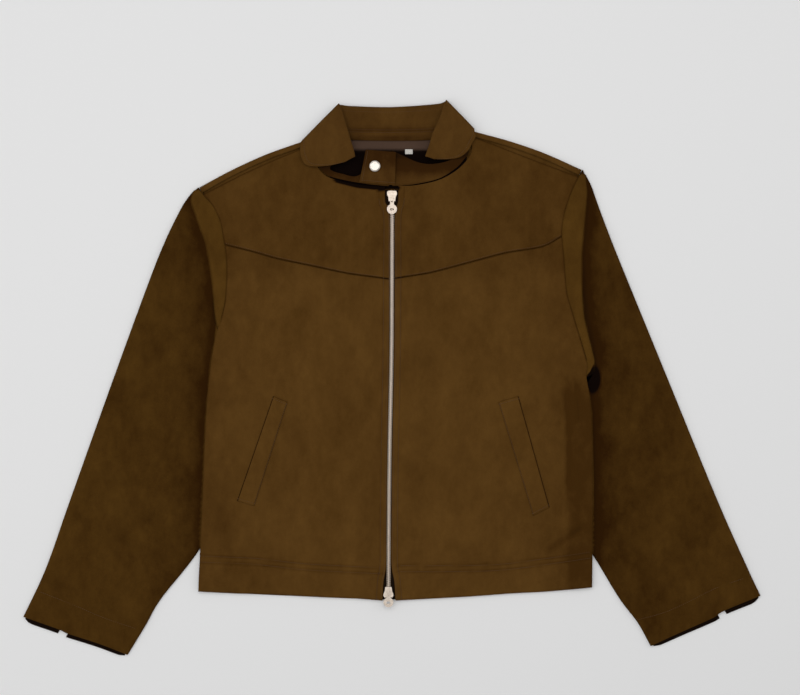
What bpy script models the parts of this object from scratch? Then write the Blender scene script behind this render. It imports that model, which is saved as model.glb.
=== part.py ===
"""Suede zip jacket laid flat on its back: cloth walls cut along their seams, a collar and a two-way zip.

Plan sizes and heights are in millimetres. +Y points to the collar, +Z up, z = 0 is the surface it lies on.
"""
import bisect
import math

import bmesh
import bpy
from mathutils import Vector

MM = 0.001
WALL = 1.6            # suede with its lining
SEAM = 0.3            # clearance between two pieces at a seam
ROLL_LOW = SEAM + WALL                 # a folded edge ends this far above what it lies on
LAYER = 0.4           # clearance between two layers that lie on each other
BODY_GAP = 2.4        # air between front and back
BODY_GAP_MAX = 3.8
SLEEVE_GAP = 1.2      # air inside an exposed sleeve
TUCKED_TOP = 2 * WALL + LAYER          # height of a sleeve pressed under the body
BODY_LIFT = TUCKED_TOP + LAYER         # height of the back panel where it lies on a sleeve
EDGE = 3.6            # how far in from a folded edge the cloth starts to roll down
UNDER_INSET = 4.0     # the lower panel stops this far inside a folded edge

# ---------------------------------------------------------------- seams: x, y of the points they pass
# Folded shoulder edge, then its end at the neck
SHOULDER = {"left": ((-275, 271), (-230, 295), (-179, 318), (-128, 336), (-99, 347)),
            "right": ((271, 296), (219, 319), (170, 336), (115, 351), (94, 357))}
SHOULDER_SEAM = {"left": ((-268, 261), (-214, 289), (-170, 309), (-129, 326), (-101, 338)),
                 "right": ((265, 286), (193, 313), (142, 333), (119, 341), (96, 350))}
# Edge of the body from the shoulder down the armhole and the side to the hem
BODY_EDGE = {"left": ((-275, 271), (-268, 261), (-254, 245), (-244, 224), (-239, 200), (-235, 173), (-234, 146),
                      (-236, 110), (-242, 84), (-250, 60), (-258, 10), (-264, -60), (-270, -200), (-275, -302)),
             "right": ((271, 296), (265, 286), (256, 268), (246, 239), (241, 209), (244, 170), (248, 121),
                       (257, 90), (276, 24), (276, 2), (283, -48), (285, -150), (284, -296))}
ARMPIT_Y = {"left": 80, "right": 22}
YOKE_END_Y = {"left": 190, "right": 202}
SHOULDER_SEAM_Y = {"left": 261, "right": 286}
YOKE = {"left": ((-237, 190), (-197, 180), (-162, 170), (-114, 160), (-62, 149), (-11, 142)),
        "right": ((241, 202), (213, 187), (160, 178), (111, 165), (54, 150), (9, 143))}
HEM = {"left": ((-275, -302), (-219, -305), (-162, -306), (-102, -310), (-53, -312), (-14, -315)),
       "right": ((284, -296), (222, -302), (168, -305), (114, -309), (60, -312), (7, -315))}
NECK = {"left": ((-101, 338), (-111, 322), (-106, 302), (-95, 288), (-74, 280), (-48, 275), (-10, 272)),
        "right": ((96, 350), (111, 336), (112, 319), (95, 298), (68, 282), (34, 274), (9, 273))}
FRONT_EDGE = {"left": ((-10, 272), (-10, 142), (-10, -100), (-11, -260), (-14, -315)),
              "right": ((9, 273), (9, 143), (9, -100), (8, -260), (7, -315))}
BACK_NECK = ((-99, 347), (-84, 338), (-60, 336), (0, 335.5), (54, 336), (80, 342), (94, 357))

# Sleeve lines: fold of the sleeve head, the roll below it, where the sleeve comes out again
HEAD_FOLD = {"left": ((-282, 257), (-275, 228), (-263, 188), (-257, 157), (-253, 121), (-251, 96), (-249, 78)),
             "right": ((276, 283), (275, 261), (273, 225), (269, 178), (269, 126), (273, 83), (292, 24))}
HEAD_OUT = {"left": ((-284, 253), (-277, 226), (-265, 187), (-259, 156), (-255, 121), (-253, 92),
                     (-243, 63), (-213, 50)),
            "right": ((277.5, 278), (277, 258), (275, 224), (271, 178), (271, 126), (275, 83),
                      (290, 10), (258, -3))}
SLEEVE_OUTER = {"left": ((-284, 253), (-301, 239), (-321, 197), (-344, 140), (-396, -2), (-457, -173),
                         (-491, -269), (-523, -338)),
                "right": ((277.5, 278), (290, 253), (311, 197), (334, 140), (392, -2), (462, -173),
                          (506, -272), (523, -308))}
SLEEVE_INNER = {"left": ((-213, 50), (-201, 27), (-199, -9), (-207, -87), (-230, -168), (-277, -248),
                         (-328, -315), (-362, -371), (-379, -388)),
                "right": ((258, -3), (243, -26), (228, -60), (224, -100), (233, -151), (258, -211), (288, -255),
                          (322, -315), (358, -371), (371, -378))}
CUFF = {"left": ((-523, -338), (-474, -356), (-459, -363), (-416, -377), (-379, -388)),
        "right": ((523, -308), (471, -330), (456, -340), (412, -360), (371, -378))}
# Vent in the under sleeve: share of the cuff from the outer edge where it starts and ends
VENT = {"left": (0.335, 0.43), "right": (0.31, 0.385)}
CUFF_UNDER_DROP = 8.9     # the under sleeve is this much longer at the cuff
VENT_DEPTH = 14.0
UNDER_HOOK = {"left": (-256, 70), "right": (291, 10)}    # where the under sleeve turns in below the armpit

# ---------------------------------------------------------------- relief: x0, y0, x1, y1, half width, height
FRONT_RELIEF = (
    (0, 270, -3, -315, 70, 1.1),         # facings and tapes lift the fronts along the zip
    (-250, 240, -236, 120, 60, 1.4),     # sleeve heads lift the fronts along the armholes
    (250, 255, 250, 110, 60, 1.4),
    (-275, 271, -99, 347, 40, -0.6),     # shoulder folds press flat
    (271, 296, 94, 357, 40, -0.6),
    (249, -5, 250, -190, 9, -1.5),       # long fold beside the right side seam
    (262, -12, 263, -55, 8, -1.2),
    (264, -214, 220, -244, 12, -1.3),    # crease from the side seam to the hem
    (-150, 60, -120, -40, 55, 0.8),
    (120, 90, 150, -30, 60, 0.8),
    (-200, -120, -150, -230, 45, -0.8),
    (90, -160, 130, -270, 50, -0.8),
)
SLEEVE_RELIEF = (
    (-330, 120, -300, 30, 26, 1.6),
    (-300, 60, -330, -60, 18, -0.9),
    (-400, -120, -330, -180, 22, 1.5),
    (-420, -60, -350, -120, 16, -0.8),
    (-450, -200, -400, -300, 30, 1.3),
    (320, 120, 300, 20, 26, 1.6),
    (310, 0, 345, -110, 18, -0.9),
    (420, -110, 340, -170, 22, 1.5),
    (400, -60, 350, -90, 16, -0.8),
    (450, -170, 410, -290, 30, 1.3),
)


# ---------------------------------------------------------------- curves and heights
def smooth_line(points):
    """A curve through the points, as a function of the share of its length."""
    points = [Vector(p) for p in points]
    lengths = [0.0]
    for a, b in zip(points, points[1:]):
        lengths.append(lengths[-1] + (b - a).length)
    ahead = [2 * points[0] - points[1]] + points + [2 * points[-1] - points[-2]]

    def at(share):
        distance = min(max(share, 0.0), 1.0) * lengths[-1]
        k = min(bisect.bisect_right(lengths, distance) - 1, len(points) - 2)
        t = (distance - lengths[k]) / (lengths[k + 1] - lengths[k])
        a, b, c, d = ahead[k:k + 4]
        return 0.5 * (2 * b + (c - a) * t + (2 * a - 5 * b + 4 * c - d) * t * t
                      + (3 * b - a - 3 * c + d) * t ** 3)
    return at


def share_at(line, y):
    """Share of a line that runs downwards at which it passes the height y."""
    low, high = 0.0, 1.0
    for _ in range(40):
        middle = (low + high) / 2
        low, high = (middle, high) if line(middle).y > y else (low, middle)
    return low


def stretch(line, start, end):
    return lambda t: line(start + (end - start) * t)


def joined(first, second, share):
    """Two lines one after the other; the first takes up `share` of the range."""
    def at(t):
        return first(t / share) if t <= share else second((t - share) / (1 - share))
    return at


def patch(start, end, low, high):
    """The plan of a panel between four seams: start and end run along u, low and high along v."""
    corner = (start(0), start(1), end(0), end(1))

    def at(u, v):
        across = start(u) * (1 - v) + end(u) * v
        along = low(v) * (1 - u) + high(v) * u
        bilinear = (corner[0] * (1 - u) + corner[1] * u) * (1 - v) + (corner[2] * (1 - u) + corner[3] * u) * v
        return across + along - bilinear
    return at


def distance_to_line(x, y, points):
    best = math.inf
    for (x0, y0), (x1, y1) in zip(points, points[1:]):
        dx, dy = x1 - x0, y1 - y0
        t = min(max(((x - x0) * dx + (y - y0) * dy) / (dx * dx + dy * dy), 0.0), 1.0)
        best = min(best, math.hypot(x - x0 - t * dx, y - y0 - t * dy))
    return best


def inside(x, y, polygon):
    hit = False
    for (x0, y0), (x1, y1) in zip(polygon, polygon[1:] + polygon[:1]):
        if (y0 > y) != (y1 > y) and x < x0 + (y - y0) * (x1 - x0) / (y1 - y0):
            hit = not hit
    return hit


def ease(t):
    t = min(max(t, 0.0), 1.0)
    return t * t * (3 - 2 * t)


def relief(x, y, table):
    total = 0.0
    for x0, y0, x1, y1, half_width, height in table:
        t = distance_to_line(x, y, ((x0, y0), (x1, y1))) / half_width
        if t < 1:
            total += height * (1 - t * t) ** 2
    return total


LIFT_CLEAR = 30.0     # the body is at its full lift this far outside a tucked sleeve
LIFT_RAMP = 46.0
TUCKED = {"left": [(-255, 82), (-238, 76), *SLEEVE_INNER["left"][:6]],
          "right": [(295, 26), (270, 20), *SLEEVE_INNER["right"][:7]]}
TUCKED_REGION = {"left": TUCKED["left"] + [(-400, -248), (-400, 82)],
                 "right": TUCKED["right"] + [(400, -255), (400, 26)]}


def lift(x, y):
    """How far the sleeve tucked below raises the body's back panel."""
    side = "left" if x < 0 else "right"
    if inside(x, y, TUCKED_REGION[side]):
        return BODY_LIFT
    distance = distance_to_line(x, y, TUCKED[side])
    return BODY_LIFT * (1 - ease((distance - LIFT_CLEAR) / LIFT_RAMP))


def front_top(x, y):
    raised = lift(x, y)
    gap = BODY_GAP + relief(x, y, FRONT_RELIEF) - 1.4 * raised / BODY_LIFT
    return raised + 2 * WALL + min(max(gap, 0.6), BODY_GAP_MAX)


COVER = {"left": [*HEAD_FOLD["left"], *BODY_EDGE["left"][9:]],
         "right": [*HEAD_FOLD["right"], *BODY_EDGE["right"][9:]]}
body_edge = {side: smooth_line(points) for side, points in BODY_EDGE.items()}


def beyond_cover(x, y):
    """Distance outside the sleeve-head fold and the body's side edge; zero under them."""
    line = COVER["left" if x < 0 else "right"]
    if inside(x, y, [*line, (0, line[-1][1]), (0, line[0][1])]):
        return 0.0
    return distance_to_line(x, y, line)


def sleeve_top(x, y):
    loose = min(max(SLEEVE_GAP + relief(x, y, SLEEVE_RELIEF), 0.6), BODY_GAP_MAX)
    return 2 * WALL + LAYER + (loose - LAYER) * ease((beyond_cover(x, y) - 16) / 26)


def rolled(top, low, distance, reach=EDGE):
    """Height of a wall that rolls down to `low` at a folded edge."""
    if distance >= reach:
        return top
    return low + (top - low) * math.sin(math.pi / 2 * distance / reach)


# ---------------------------------------------------------------- meshes
bpy_objects = bpy.data.objects
for old in list(bpy_objects):
    bpy_objects.remove(old, do_unlink=True)
jacket = bpy.data.collections.new("suede_jacket")
cutters = bpy.data.collections.new("cutters")
bpy.context.scene.collection.children.link(jacket)
bpy.context.scene.collection.children.link(cutters)


def make_material(name, color, roughness, metallic=0.0):
    material = bpy.data.materials.new(name)
    material.use_nodes = True
    shader = material.node_tree.nodes["Principled BSDF"]
    shader.inputs["Base Color"].default_value = (*color, 1)
    shader.inputs["Roughness"].default_value = roughness
    shader.inputs["Metallic"].default_value = metallic
    return material


SUEDE = (0.066, 0.029, 0.008)
SLEEVE_SUEDE = (0.045, 0.019, 0.006)
LINING = (0.045, 0.032, 0.03)
TAPE = (0.02, 0.012, 0.008)
METAL = (0.62, 0.55, 0.46)


def add_object(name, mesh, color, roughness=0.95, metallic=0.0):
    item = bpy_objects.new(name, mesh)
    mesh.materials.append(make_material(name, color, roughness, metallic))
    jacket.objects.link(item)
    return item


def add_sheet(name, us, vs, place, color, wall=WALL, under=None):
    """A cloth wall: place(u, v) gives its upper surface, under(u, v) its lower one if that isn't straight below."""
    if under is None:
        def under(u, v):
            return Vector(place(u, v)) - Vector((0, 0, wall))
    solid = bmesh.new()
    bmesh.ops.create_grid(solid, x_segments=len(us) - 1, y_segments=len(vs) - 1, size=0.5)
    grid = list(solid.verts)
    made = bmesh.ops.extrude_face_region(solid, geom=solid.faces[:], use_keep_orig=True)["geom"]
    lower = [item for item in made if isinstance(item, bmesh.types.BMVert)]
    for vertices, surface in ((lower, under), (grid, place)):
        for vertex in vertices:
            i = round((vertex.co.x + 0.5) * (len(us) - 1))
            j = round((vertex.co.y + 0.5) * (len(vs) - 1))
            vertex.co = Vector(surface(us[i], vs[j])) * MM
    bmesh.ops.recalc_face_normals(solid, faces=solid.faces)
    mesh = bpy.data.meshes.new(name)
    solid.to_mesh(mesh)
    solid.free()
    return add_object(name, mesh, color)


def flat_outline(name, loops, half_thickness):
    """A flat plate from closed outlines; the inner ones are holes."""
    curve = bpy.data.curves.new(name, "CURVE")
    curve.dimensions = "2D"
    curve.fill_mode = "BOTH"
    curve.extrude = half_thickness * MM
    for loop in loops:
        spline = curve.splines.new("POLY")
        spline.points.add(len(loop) - 1)
        for point, (x, y) in zip(spline.points, loop):
            point.co = (x * MM, y * MM, 0, 1)
        spline.use_cyclic_u = True
    item = bpy_objects.new(name, curve)
    jacket.objects.link(item)
    mesh = bpy.data.meshes.new_from_object(item.evaluated_get(bpy.context.evaluated_depsgraph_get()))
    bpy_objects.remove(item, do_unlink=True)
    solid = bmesh.new()
    solid.from_mesh(mesh)
    bmesh.ops.remove_doubles(solid, verts=solid.verts, dist=1e-6)
    bmesh.ops.recalc_face_normals(solid, faces=solid.faces)
    solid.to_mesh(mesh)
    solid.free()
    return mesh


def spaced(count, start=0.0, end=1.0):
    return [start + (end - start) * k / count for k in range(count + 1)]


ROLL = (0.0, 1.4, EDGE)      # distances from a folded edge that get a column


def edge_first(width, count):
    """Columns that start at a folded edge of a panel `width` wide."""
    return [d / width for d in ROLL] + spaced(count, EDGE / width, 1.0)[1:]


def edge_both(width, count):
    head = [d / width for d in ROLL]
    return head + spaced(count, EDGE / width, 1 - EDGE / width)[1:-1] + [1 - d for d in reversed(head)]


# ---------------------------------------------------------------- fronts and yokes
def front_panel(side):
    """Front below the yoke: u runs from the side to the zip, v from the yoke seam to the hem."""
    width = 262
    edge = body_edge[side]
    plan = patch(smooth_line(YOKE[side]), smooth_line(HEM[side]),
                 stretch(edge, share_at(edge, YOKE_END_Y[side]), 1), smooth_line(FRONT_EDGE[side][1:]))
    inset = SEAM / width

    def place(u, v):
        x, y = plan(inset + (1 - inset) * u, inset + (1 - inset) * v)
        top = front_top(x, y)
        row = (plan(1, v) - plan(0, v)).length
        rolls = ease((ARMPIT_Y[side] - y + 4) / 8)
        return x, y, top + (rolled(top, lift(x, y) + ROLL_LOW, u * row) - top) * rolls

    add_sheet(f"front_{side}", edge_first(width, 11), spaced(20), place, SUEDE)


NECK_SHARE = 0.5


def yoke_panel(side):
    """Front yoke: u runs from the armhole to the neck and zip, v from the shoulder to the yoke seam."""
    inner = joined(smooth_line(NECK[side]), smooth_line(FRONT_EDGE[side][:2]), NECK_SHARE)
    edge = body_edge[side]
    armhole = stretch(edge, share_at(edge, SHOULDER_SEAM_Y[side]), share_at(edge, YOKE_END_Y[side]))
    plan = patch(smooth_line(SHOULDER_SEAM[side]), smooth_line(YOKE[side]), armhole, inner)
    inset = SEAM / 120

    def place(u, v):
        x, y = plan(inset * 0.5 + (1 - inset * 0.5) * u, inset + (1 - 2 * inset) * v)
        return x, y, front_top(x, y)

    rows = spaced(6, 0, NECK_SHARE) + spaced(4, NECK_SHARE, 1)[1:]
    add_sheet(f"yoke_{side}", spaced(12), rows, place, SUEDE)


for side in ("left", "right"):
    front_panel(side)
    yoke_panel(side)

# ---------------------------------------------------------------- back, wrapping over the shoulders
BACK_HEM = ((-272, -299), (-150, -305), (0, -310), (150, -303), (281, -293))
# Rows of the shoulder fold: distance in from the fold and height of the inner face, then of the outer face
SHOULDER_WRAP = ((7.0, 1.6, 7.0, 0), (3.6, 1.6, 3.0, 0), (2.2, 1.9, 0.9, 0.6), (1.7, 2.5, 0, 2.5),
                 (2.2, 3.1, 0.9, 4.4), (3.6, 3.4, 3.0, 5.0), (7.6, 3.4, 7.6, 5.0))
NECK_END = ((7.0, 1.6, 7.0, 0), (5.8, 1.6, 5.8, 0), (4.6, 1.6, 4.6, 0), (3.4, 1.6, 3.4, 0),
            (2.2, 1.6, 2.2, 0), (1.2, 1.6, 1.2, 0), (0.4, 1.6, 0.4, 0))
CORNER_SLANT = 0.57   # the body's edge runs inwards below the shoulder corner


def back_panel():
    left_shoulder = smooth_line(SHOULDER["left"])
    right_shoulder = smooth_line(tuple(reversed(SHOULDER["right"])))
    neck = smooth_line(BACK_NECK)

    def top(u):
        if u < 1 / 3:
            return left_shoulder(3 * u)
        if u <= 2 / 3:
            return neck(3 * u - 1)
        return right_shoulder(3 * u - 2)

    def side_line(side, inward):
        def at(t):
            point = body_edge[side](1 - t)
            point.x += inward * (1.0 + (UNDER_INSET - 1) * ease((ARMPIT_Y[side] + 34 - point.y) / 20))
            return point
        return at

    plan = patch(smooth_line(BACK_HEM), top, side_line("left", 1), side_line("right", -1))

    def surface(face):
        def place(u, v):
            if v <= 1:
                x, y = plan(u, v)
                return x, y, lift(x, y) + (WALL if face == "inner" else 0)
            table = SHOULDER_WRAP if u < 0.32 or u > 0.68 else NECK_END
            inner_distance, inner_z, outer_distance, outer_z = table[round(v) - 2]
            distance, z = (inner_distance, inner_z) if face == "inner" else (outer_distance, outer_z)
            x, y = top(u)
            slant = CORNER_SLANT * (max(0.0, 1 - 3 * u) - max(0.0, 3 * u - 2))
            return x + slant * (distance + 3), y - distance, z
        return place

    rows = spaced(18, 0, 0.97) + [2 + k for k in range(len(SHOULDER_WRAP))]
    add_sheet("back", spaced(24), rows, surface("inner"), SUEDE, under=surface("outer"))


back_panel()

# ---------------------------------------------------------------- sleeves
SLEEVE_WIDTH = 200
SEAM_SIDE = 1.6       # clearance between the sleeve head and the armhole


def outward(line, distance):
    """The line moved sideways; positive is to the right of its direction."""
    def at(t):
        along = line(min(t + 0.01, 1)) - line(max(t - 0.01, 0))
        return line(t) + Vector((along.y, -along.x)).normalized() * distance
    return at


def sleeve_top_panel(side):
    """Top sleeve: u runs from the outer fold to the inner fold, v from the armhole to the cuff."""
    sign = 1 if side == "left" else -1
    edge = body_edge[side]
    seam = outward(stretch(edge, 0, share_at(edge, ARMPIT_Y[side])), sign * SEAM_SIDE)
    fold = smooth_line(HEAD_FOLD[side])
    out = smooth_line(HEAD_OUT[side])
    plan = patch(out, smooth_line(CUFF[side]), smooth_line(SLEEVE_OUTER[side]),
                 smooth_line(SLEEVE_INNER[side]))
    # rows of the sleeve head: share of the way from seam to fold, share of the drop to the lower level
    head = ((0.0, 0.0), (0.5, 0.0), (0.88, 0.12), (1.0, 0.6))

    def place(u, v):
        if v < 0:
            across, drop = head[round(-v) - 1]
            x, y = seam(u) * (1 - across) + fold(u) * across
            upper = front_top(*seam(u))
            lower = 2 * WALL + LAYER
            closing = ease((u - 0.64) / 0.16)
            top = upper + (lower - upper) * (drop + (1 - drop) * closing)
            row = SLEEVE_WIDTH
        else:
            x, y = plan(u, v)
            top = sleeve_top(x, y)
            row = (plan(1, v) - plan(0, v)).length
        top = rolled(top, ROLL_LOW, u * row)
        return x, y, rolled(top, ROLL_LOW if v > 0 else top, (1 - u) * row)

    rows = [-1 - k for k in range(len(head))] + spaced(17)
    add_sheet(f"sleeve_{side}_top", edge_both(SLEEVE_WIDTH, 13), rows, place, SLEEVE_SUEDE)


def sleeve_under_panel(side):
    """Under sleeve, flat on the surface, longer at the cuff and cut by a short vent."""
    sign = 1 if side == "left" else -1
    armhole = [p for p in BODY_EDGE[side] if p[1] > ARMPIT_Y[side] + 24]
    start = outward(smooth_line([*armhole, UNDER_HOOK[side]]), sign * (SEAM_SIDE + 0.6))
    outer = outward(smooth_line(SLEEVE_OUTER[side]), -sign * UNDER_INSET)
    inner = outward(smooth_line(SLEEVE_INNER[side]), sign * UNDER_INSET)
    cuff_line = smooth_line(CUFF[side])
    down = (inner(1) - inner(0.9)).normalized()
    vent = VENT[side]
    edge_share = UNDER_INSET / SLEEVE_WIDTH

    def cuff(share, drop):
        point = cuff_line(edge_share + (1 - 2 * edge_share) * share)
        return Vector((point.x, point.y)) + down * drop

    hem = [cuff(t, CUFF_UNDER_DROP) for t in spaced(4, 1, vent[1])]
    hem += [cuff(vent[1], -VENT_DEPTH), cuff(vent[0], -VENT_DEPTH)]
    hem += [cuff(t, CUFF_UNDER_DROP) for t in spaced(3, vent[0], 0)]
    outline = [start(t) for t in spaced(16, 0.06, 1)] + [inner(t) for t in spaced(24, 0.03, 1)]
    outline += hem + [outer(t) for t in spaced(24, 1, 0.05)]
    mesh = flat_outline(f"sleeve_{side}_under", [outline], WALL / 2)
    item = add_object(f"sleeve_{side}_under", mesh, SLEEVE_SUEDE)
    item.location = (0, 0, WALL / 2 * MM)


for side in ("left", "right"):
    sleeve_top_panel(side)
    sleeve_under_panel(side)

# ---------------------------------------------------------------- collar
# Collar stand, from its left front end round the neck to its right front end.
# Columns: x, y, z on the neck seam, then x, y, z on the top edge.
STAND = (
    (-4.3, 272.5, 6.9, -2.8, 310, 7.4),
    (-25.6, 274.5, 6.9, -27, 306, 7.6),
    (-46.9, 277.3, 6.8, -48.3, 292, 8.4),
    (-71, 281.9, 6.7, -67, 293, 9.6),
    (-92.3, 288.4, 6.7, -83, 300, 11.5),
    (-103.7, 302.5, 6.8, -74, 313, 13.2),
    (-107.2, 320.2, 6.8, -63, 330, 14.4),
    (-102.9, 334.4, 7, -69, 350, 12),
    (-95.1, 342.2, 7, -74, 372, 8),
    (-82.4, 341.8, 5, -71, 384, 4.6),
    (-65.3, 338.4, 3.6, -56.8, 385.1, 3.6),
    (0, 337, 3.6, 0, 383.5, 3.6),
    (62.5, 338.6, 3.6, 62.5, 386.1, 3.6),
    (79.5, 345.2, 5, 74.5, 388.4, 4.6),
    (90.9, 351, 7, 76, 377, 8),
    (107.2, 336, 7, 68, 355.7, 12),
    (108.6, 320.2, 6.8, 60, 333, 14.4),
    (102.2, 310.3, 6.8, 76, 315, 13.6),
    (90.9, 298.2, 6.8, 84, 309, 12),
    (66.7, 283.3, 6.8, 59.6, 299, 11.5),
    (34.1, 275.6, 6.9, 36.9, 300.3, 10.5),
    (14.2, 273.5, 6.9, 12.8, 313, 9),
    (0.7, 272.8, 6.9, -0.7, 322, 8.6),
)
# Collar leaves, from the front end of the roll line back to the shoulder.
# Columns: x, y, z on the roll line, then x, y, z on the free edge.
LEAF = {
    "left": ((-54.7, 316, 17.5, -65.3, 309.6, 16),
             (-55.4, 321, 18.9, -86.6, 304, 13.6),
             (-57.5, 328.7, 19.5, -108, 301, 10.6),
             (-61.1, 338.7, 19.5, -122, 302.5, 9),
             (-64.6, 351.4, 18.5, -128.5, 313, 9),
             (-68.9, 365.6, 15.5, -130, 325, 9),
             (-73.1, 379.8, 11, -129.5, 333, 9),
             (-76.7, 388.4, 8, -127.4, 337.2, 9)),
    "right": ((49.7, 316.7, 17.5, 59.6, 313, 16.5),
              (51.8, 323, 18.9, 79.5, 312.7, 15),
              (55.4, 332.3, 19.5, 96.6, 315.2, 11.4),
              (59.6, 345.8, 19.5, 108, 323, 9),
              (65.3, 357.8, 18.5, 113.6, 333, 9),
              (70.3, 370, 15.5, 116, 343, 9),
              (74.5, 384, 11, 116.4, 348, 9),
              (78.1, 393.6, 8, 115.4, 353, 9)),
}
LEAF_CROWN = 1.2      # how far the leaf bulges between roll line and free edge
TAB_CORNERS = ((-46.1, 277.6, 11.2), (4.3, 273.6, 10.4), (-36.9, 323.8, 12.0), (5.7, 320.2, 12.2))


STEP = 0.01


def band(name, table, per_row, steps, crown, wraps=False, color=SUEDE):
    """A strip between two edges given row by row, bulging upwards by `crown`; `wraps` if it turns over."""
    low = smooth_line([row[:3] for row in table])
    high = smooth_line([row[3:] for row in table])

    def shares(points):
        line = [Vector(p) for p in points]
        total = [0.0]
        for a, b in zip(line, line[1:]):
            total.append(total[-1] + (b - a).length)
        return [t / total[-1] for t in total]

    low_shares = shares([row[:3] for row in table])
    high_shares = shares([row[3:] for row in table])

    def place(u, v):
        k = min(int(u), len(table) - 2)
        t = u - k
        a = low(low_shares[k] * (1 - t) + low_shares[k + 1] * t)
        b = high(high_shares[k] * (1 - t) + high_shares[k + 1] * t)
        point = a * (1 - v) + b * v
        point.z += crown * 4 * v * (1 - v)
        return point

    def turned(u, v):
        along = Vector(place(u + STEP, v)) - Vector(place(u - STEP, v))
        across = Vector(place(u, v + STEP)) - Vector(place(u, v - STEP))
        return Vector(place(u, v)) + along.cross(across).normalized() * WALL

    rows = [k / per_row for k in range((len(table) - 1) * per_row + 1)]
    add_sheet(name, rows, spaced(steps), place, color, under=turned if wraps else None)


band("collar_stand", STAND, 2, 3, 0.0, wraps=True)
for side in ("left", "right"):
    band(f"collar_leaf_{side}", LEAF[side], 2, 4, LEAF_CROWN)


def collar_under():
    """Back of the collar fall, folded under the stand and flat on the surface."""
    top = smooth_line(((-70, 382), (0, 381), (72, 386)))
    neck = smooth_line(((-80, 342), (-60, 338), (0, 337), (56, 338), (78, 345)))
    plan = patch(neck, top, lambda v: neck(0) * (1 - v) + top(0) * v, lambda v: neck(1) * (1 - v) + top(1) * v)
    add_sheet("collar_under", spaced(8), spaced(2), lambda u, v: (*plan(u, v), WALL), SUEDE)


def throat_tab():
    near_left, near_right, far_left, far_right = [Vector(c) for c in TAB_CORNERS]

    def place(u, v):
        point = (near_left * (1 - u) + near_right * u) * (1 - v) + (far_left * (1 - u) + far_right * u) * v
        point.z += 0.5 * math.sin(math.pi * u)
        return point

    add_sheet("throat_tab", spaced(6), spaced(5), place, SUEDE)


collar_under()
throat_tab()

LINING_WALL = 1.0
LINING_TOP = WALL + LAYER + LINING_WALL


def neck_lining():
    """Lining on the inside of the back, where the neck shows it."""
    top = smooth_line(((-78, 333.5), (0, 334.5), (76, 335)))
    bottom = smooth_line(((-80, 276), (0, 269), (80, 276)))
    left = smooth_line(((-78, 333.5), (-104, 310), (-80, 276)))
    right = smooth_line(((76, 335), (106, 312), (80, 276)))
    plan = patch(top, bottom, left, right)
    add_sheet("neck_lining", spaced(8), spaced(5), lambda u, v: (*plan(u, v), LINING_TOP), LINING, LINING_WALL)


def neck_label():
    center, half_width, half_height, wall = (24, 321), 6.5, 4.5, 1.0
    add_sheet("neck_label", spaced(2), spaced(1),
              lambda u, v: (center[0] + (2 * u - 1) * half_width, center[1] + (2 * v - 1) * half_height,
                            LINING_TOP + SEAM + wall), (0.7, 0.68, 0.62), wall)


neck_lining()
neck_label()

# ---------------------------------------------------------------- pockets
# Welt corners: top inner, top outer, bottom outer, bottom inner
WELT = {"left": ((-148, -33), (-168, -25), (-219, -173), (-195, -180)),
        "right": ((151, -33), (179, -25), (223, -182), (200, -194))}
WELT_WALL = 1.4


def welt(side):
    a, b, c, d = [Vector(p) for p in WELT[side]]

    def place(u, v):
        point = (a * (1 - u) + b * u) * (1 - v) + (d * (1 - u) + c * u) * v
        return point.x, point.y, front_top(point.x, point.y) + 0.7 + WELT_WALL

    add_sheet(f"welt_{side}", spaced(3), spaced(9), place, SUEDE, WELT_WALL)


for side in ("left", "right"):
    welt(side)

# ---------------------------------------------------------------- zip
ZIP_LINE = ((0, 268), (-1, 40), (-4, -102), (-5, -215), (-5, -316))
CHAIN_HALF = 3.0
CHAIN_TOP = 6.0
CHAIN_WALL = 2.8
TAPE_TOP = 4.5
TAPE_WALL = 0.9
TAPE_REACH = 17.0
zip_x = smooth_line(ZIP_LINE)


def zip_strip(name, x_low, x_high, y_high, y_low, top, wall, color, metallic=0.0):
    def place(u, v):
        y = y_high + (y_low - y_high) * v
        center = zip_x((ZIP_LINE[0][1] - y) / (ZIP_LINE[0][1] - ZIP_LINE[-1][1]))
        return center.x + x_low + (x_high - x_low) * u, y, top

    add_sheet(name, spaced(1), spaced(12), place, color, wall)


zip_strip("zip_tape_left", -TAPE_REACH, -CHAIN_HALF - SEAM, 268, -313, TAPE_TOP, TAPE_WALL, TAPE)
zip_strip("zip_tape_right", CHAIN_HALF + SEAM, TAPE_REACH, 268, -313, TAPE_TOP, TAPE_WALL, TAPE)
zip_strip("zip_chain", -CHAIN_HALF, CHAIN_HALF, 260, -303, CHAIN_TOP, CHAIN_WALL, METAL)

SLIDER_LOW = 1.95
SLIDER_HIGH = 8.0
# Half outline of a slider from its wide end to its narrow end: half width, distance along
SLIDER_OUTLINE = ((2.5, 7.5), (5.6, 7.3), (7.0, 5.2), (6.8, 2.0), (5.2, -1.5), (4.6, -7.0), (3.6, -7.5))
PASSAGE = (2.9, 6.3)  # heights between which chain and tapes run through
BRIDGE_HALF = 1.9
BRIDGE_LENGTH = 3.5
BAIL_HALF = 1.1
BAIL_REACH = 3.6
BAIL_TOP = 11.1
EYE_HALF = 2.7        # half length of the eye under the bail
EYE = (8.0, 10.4)     # heights between which the pull's crossbar lies
PIN_Z = 9.2
PIN_Y = -1.5          # crossbar's place from the middle of the bail
SLIDERS = {"top": {"body": (0, 258.5), "wide": 1, "bail_y": 255, "tilt": 4.5},
           "bottom": {"body": (-5, -302.5), "wide": -1, "bail_y": -301.5, "tilt": 1.0}}


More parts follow.
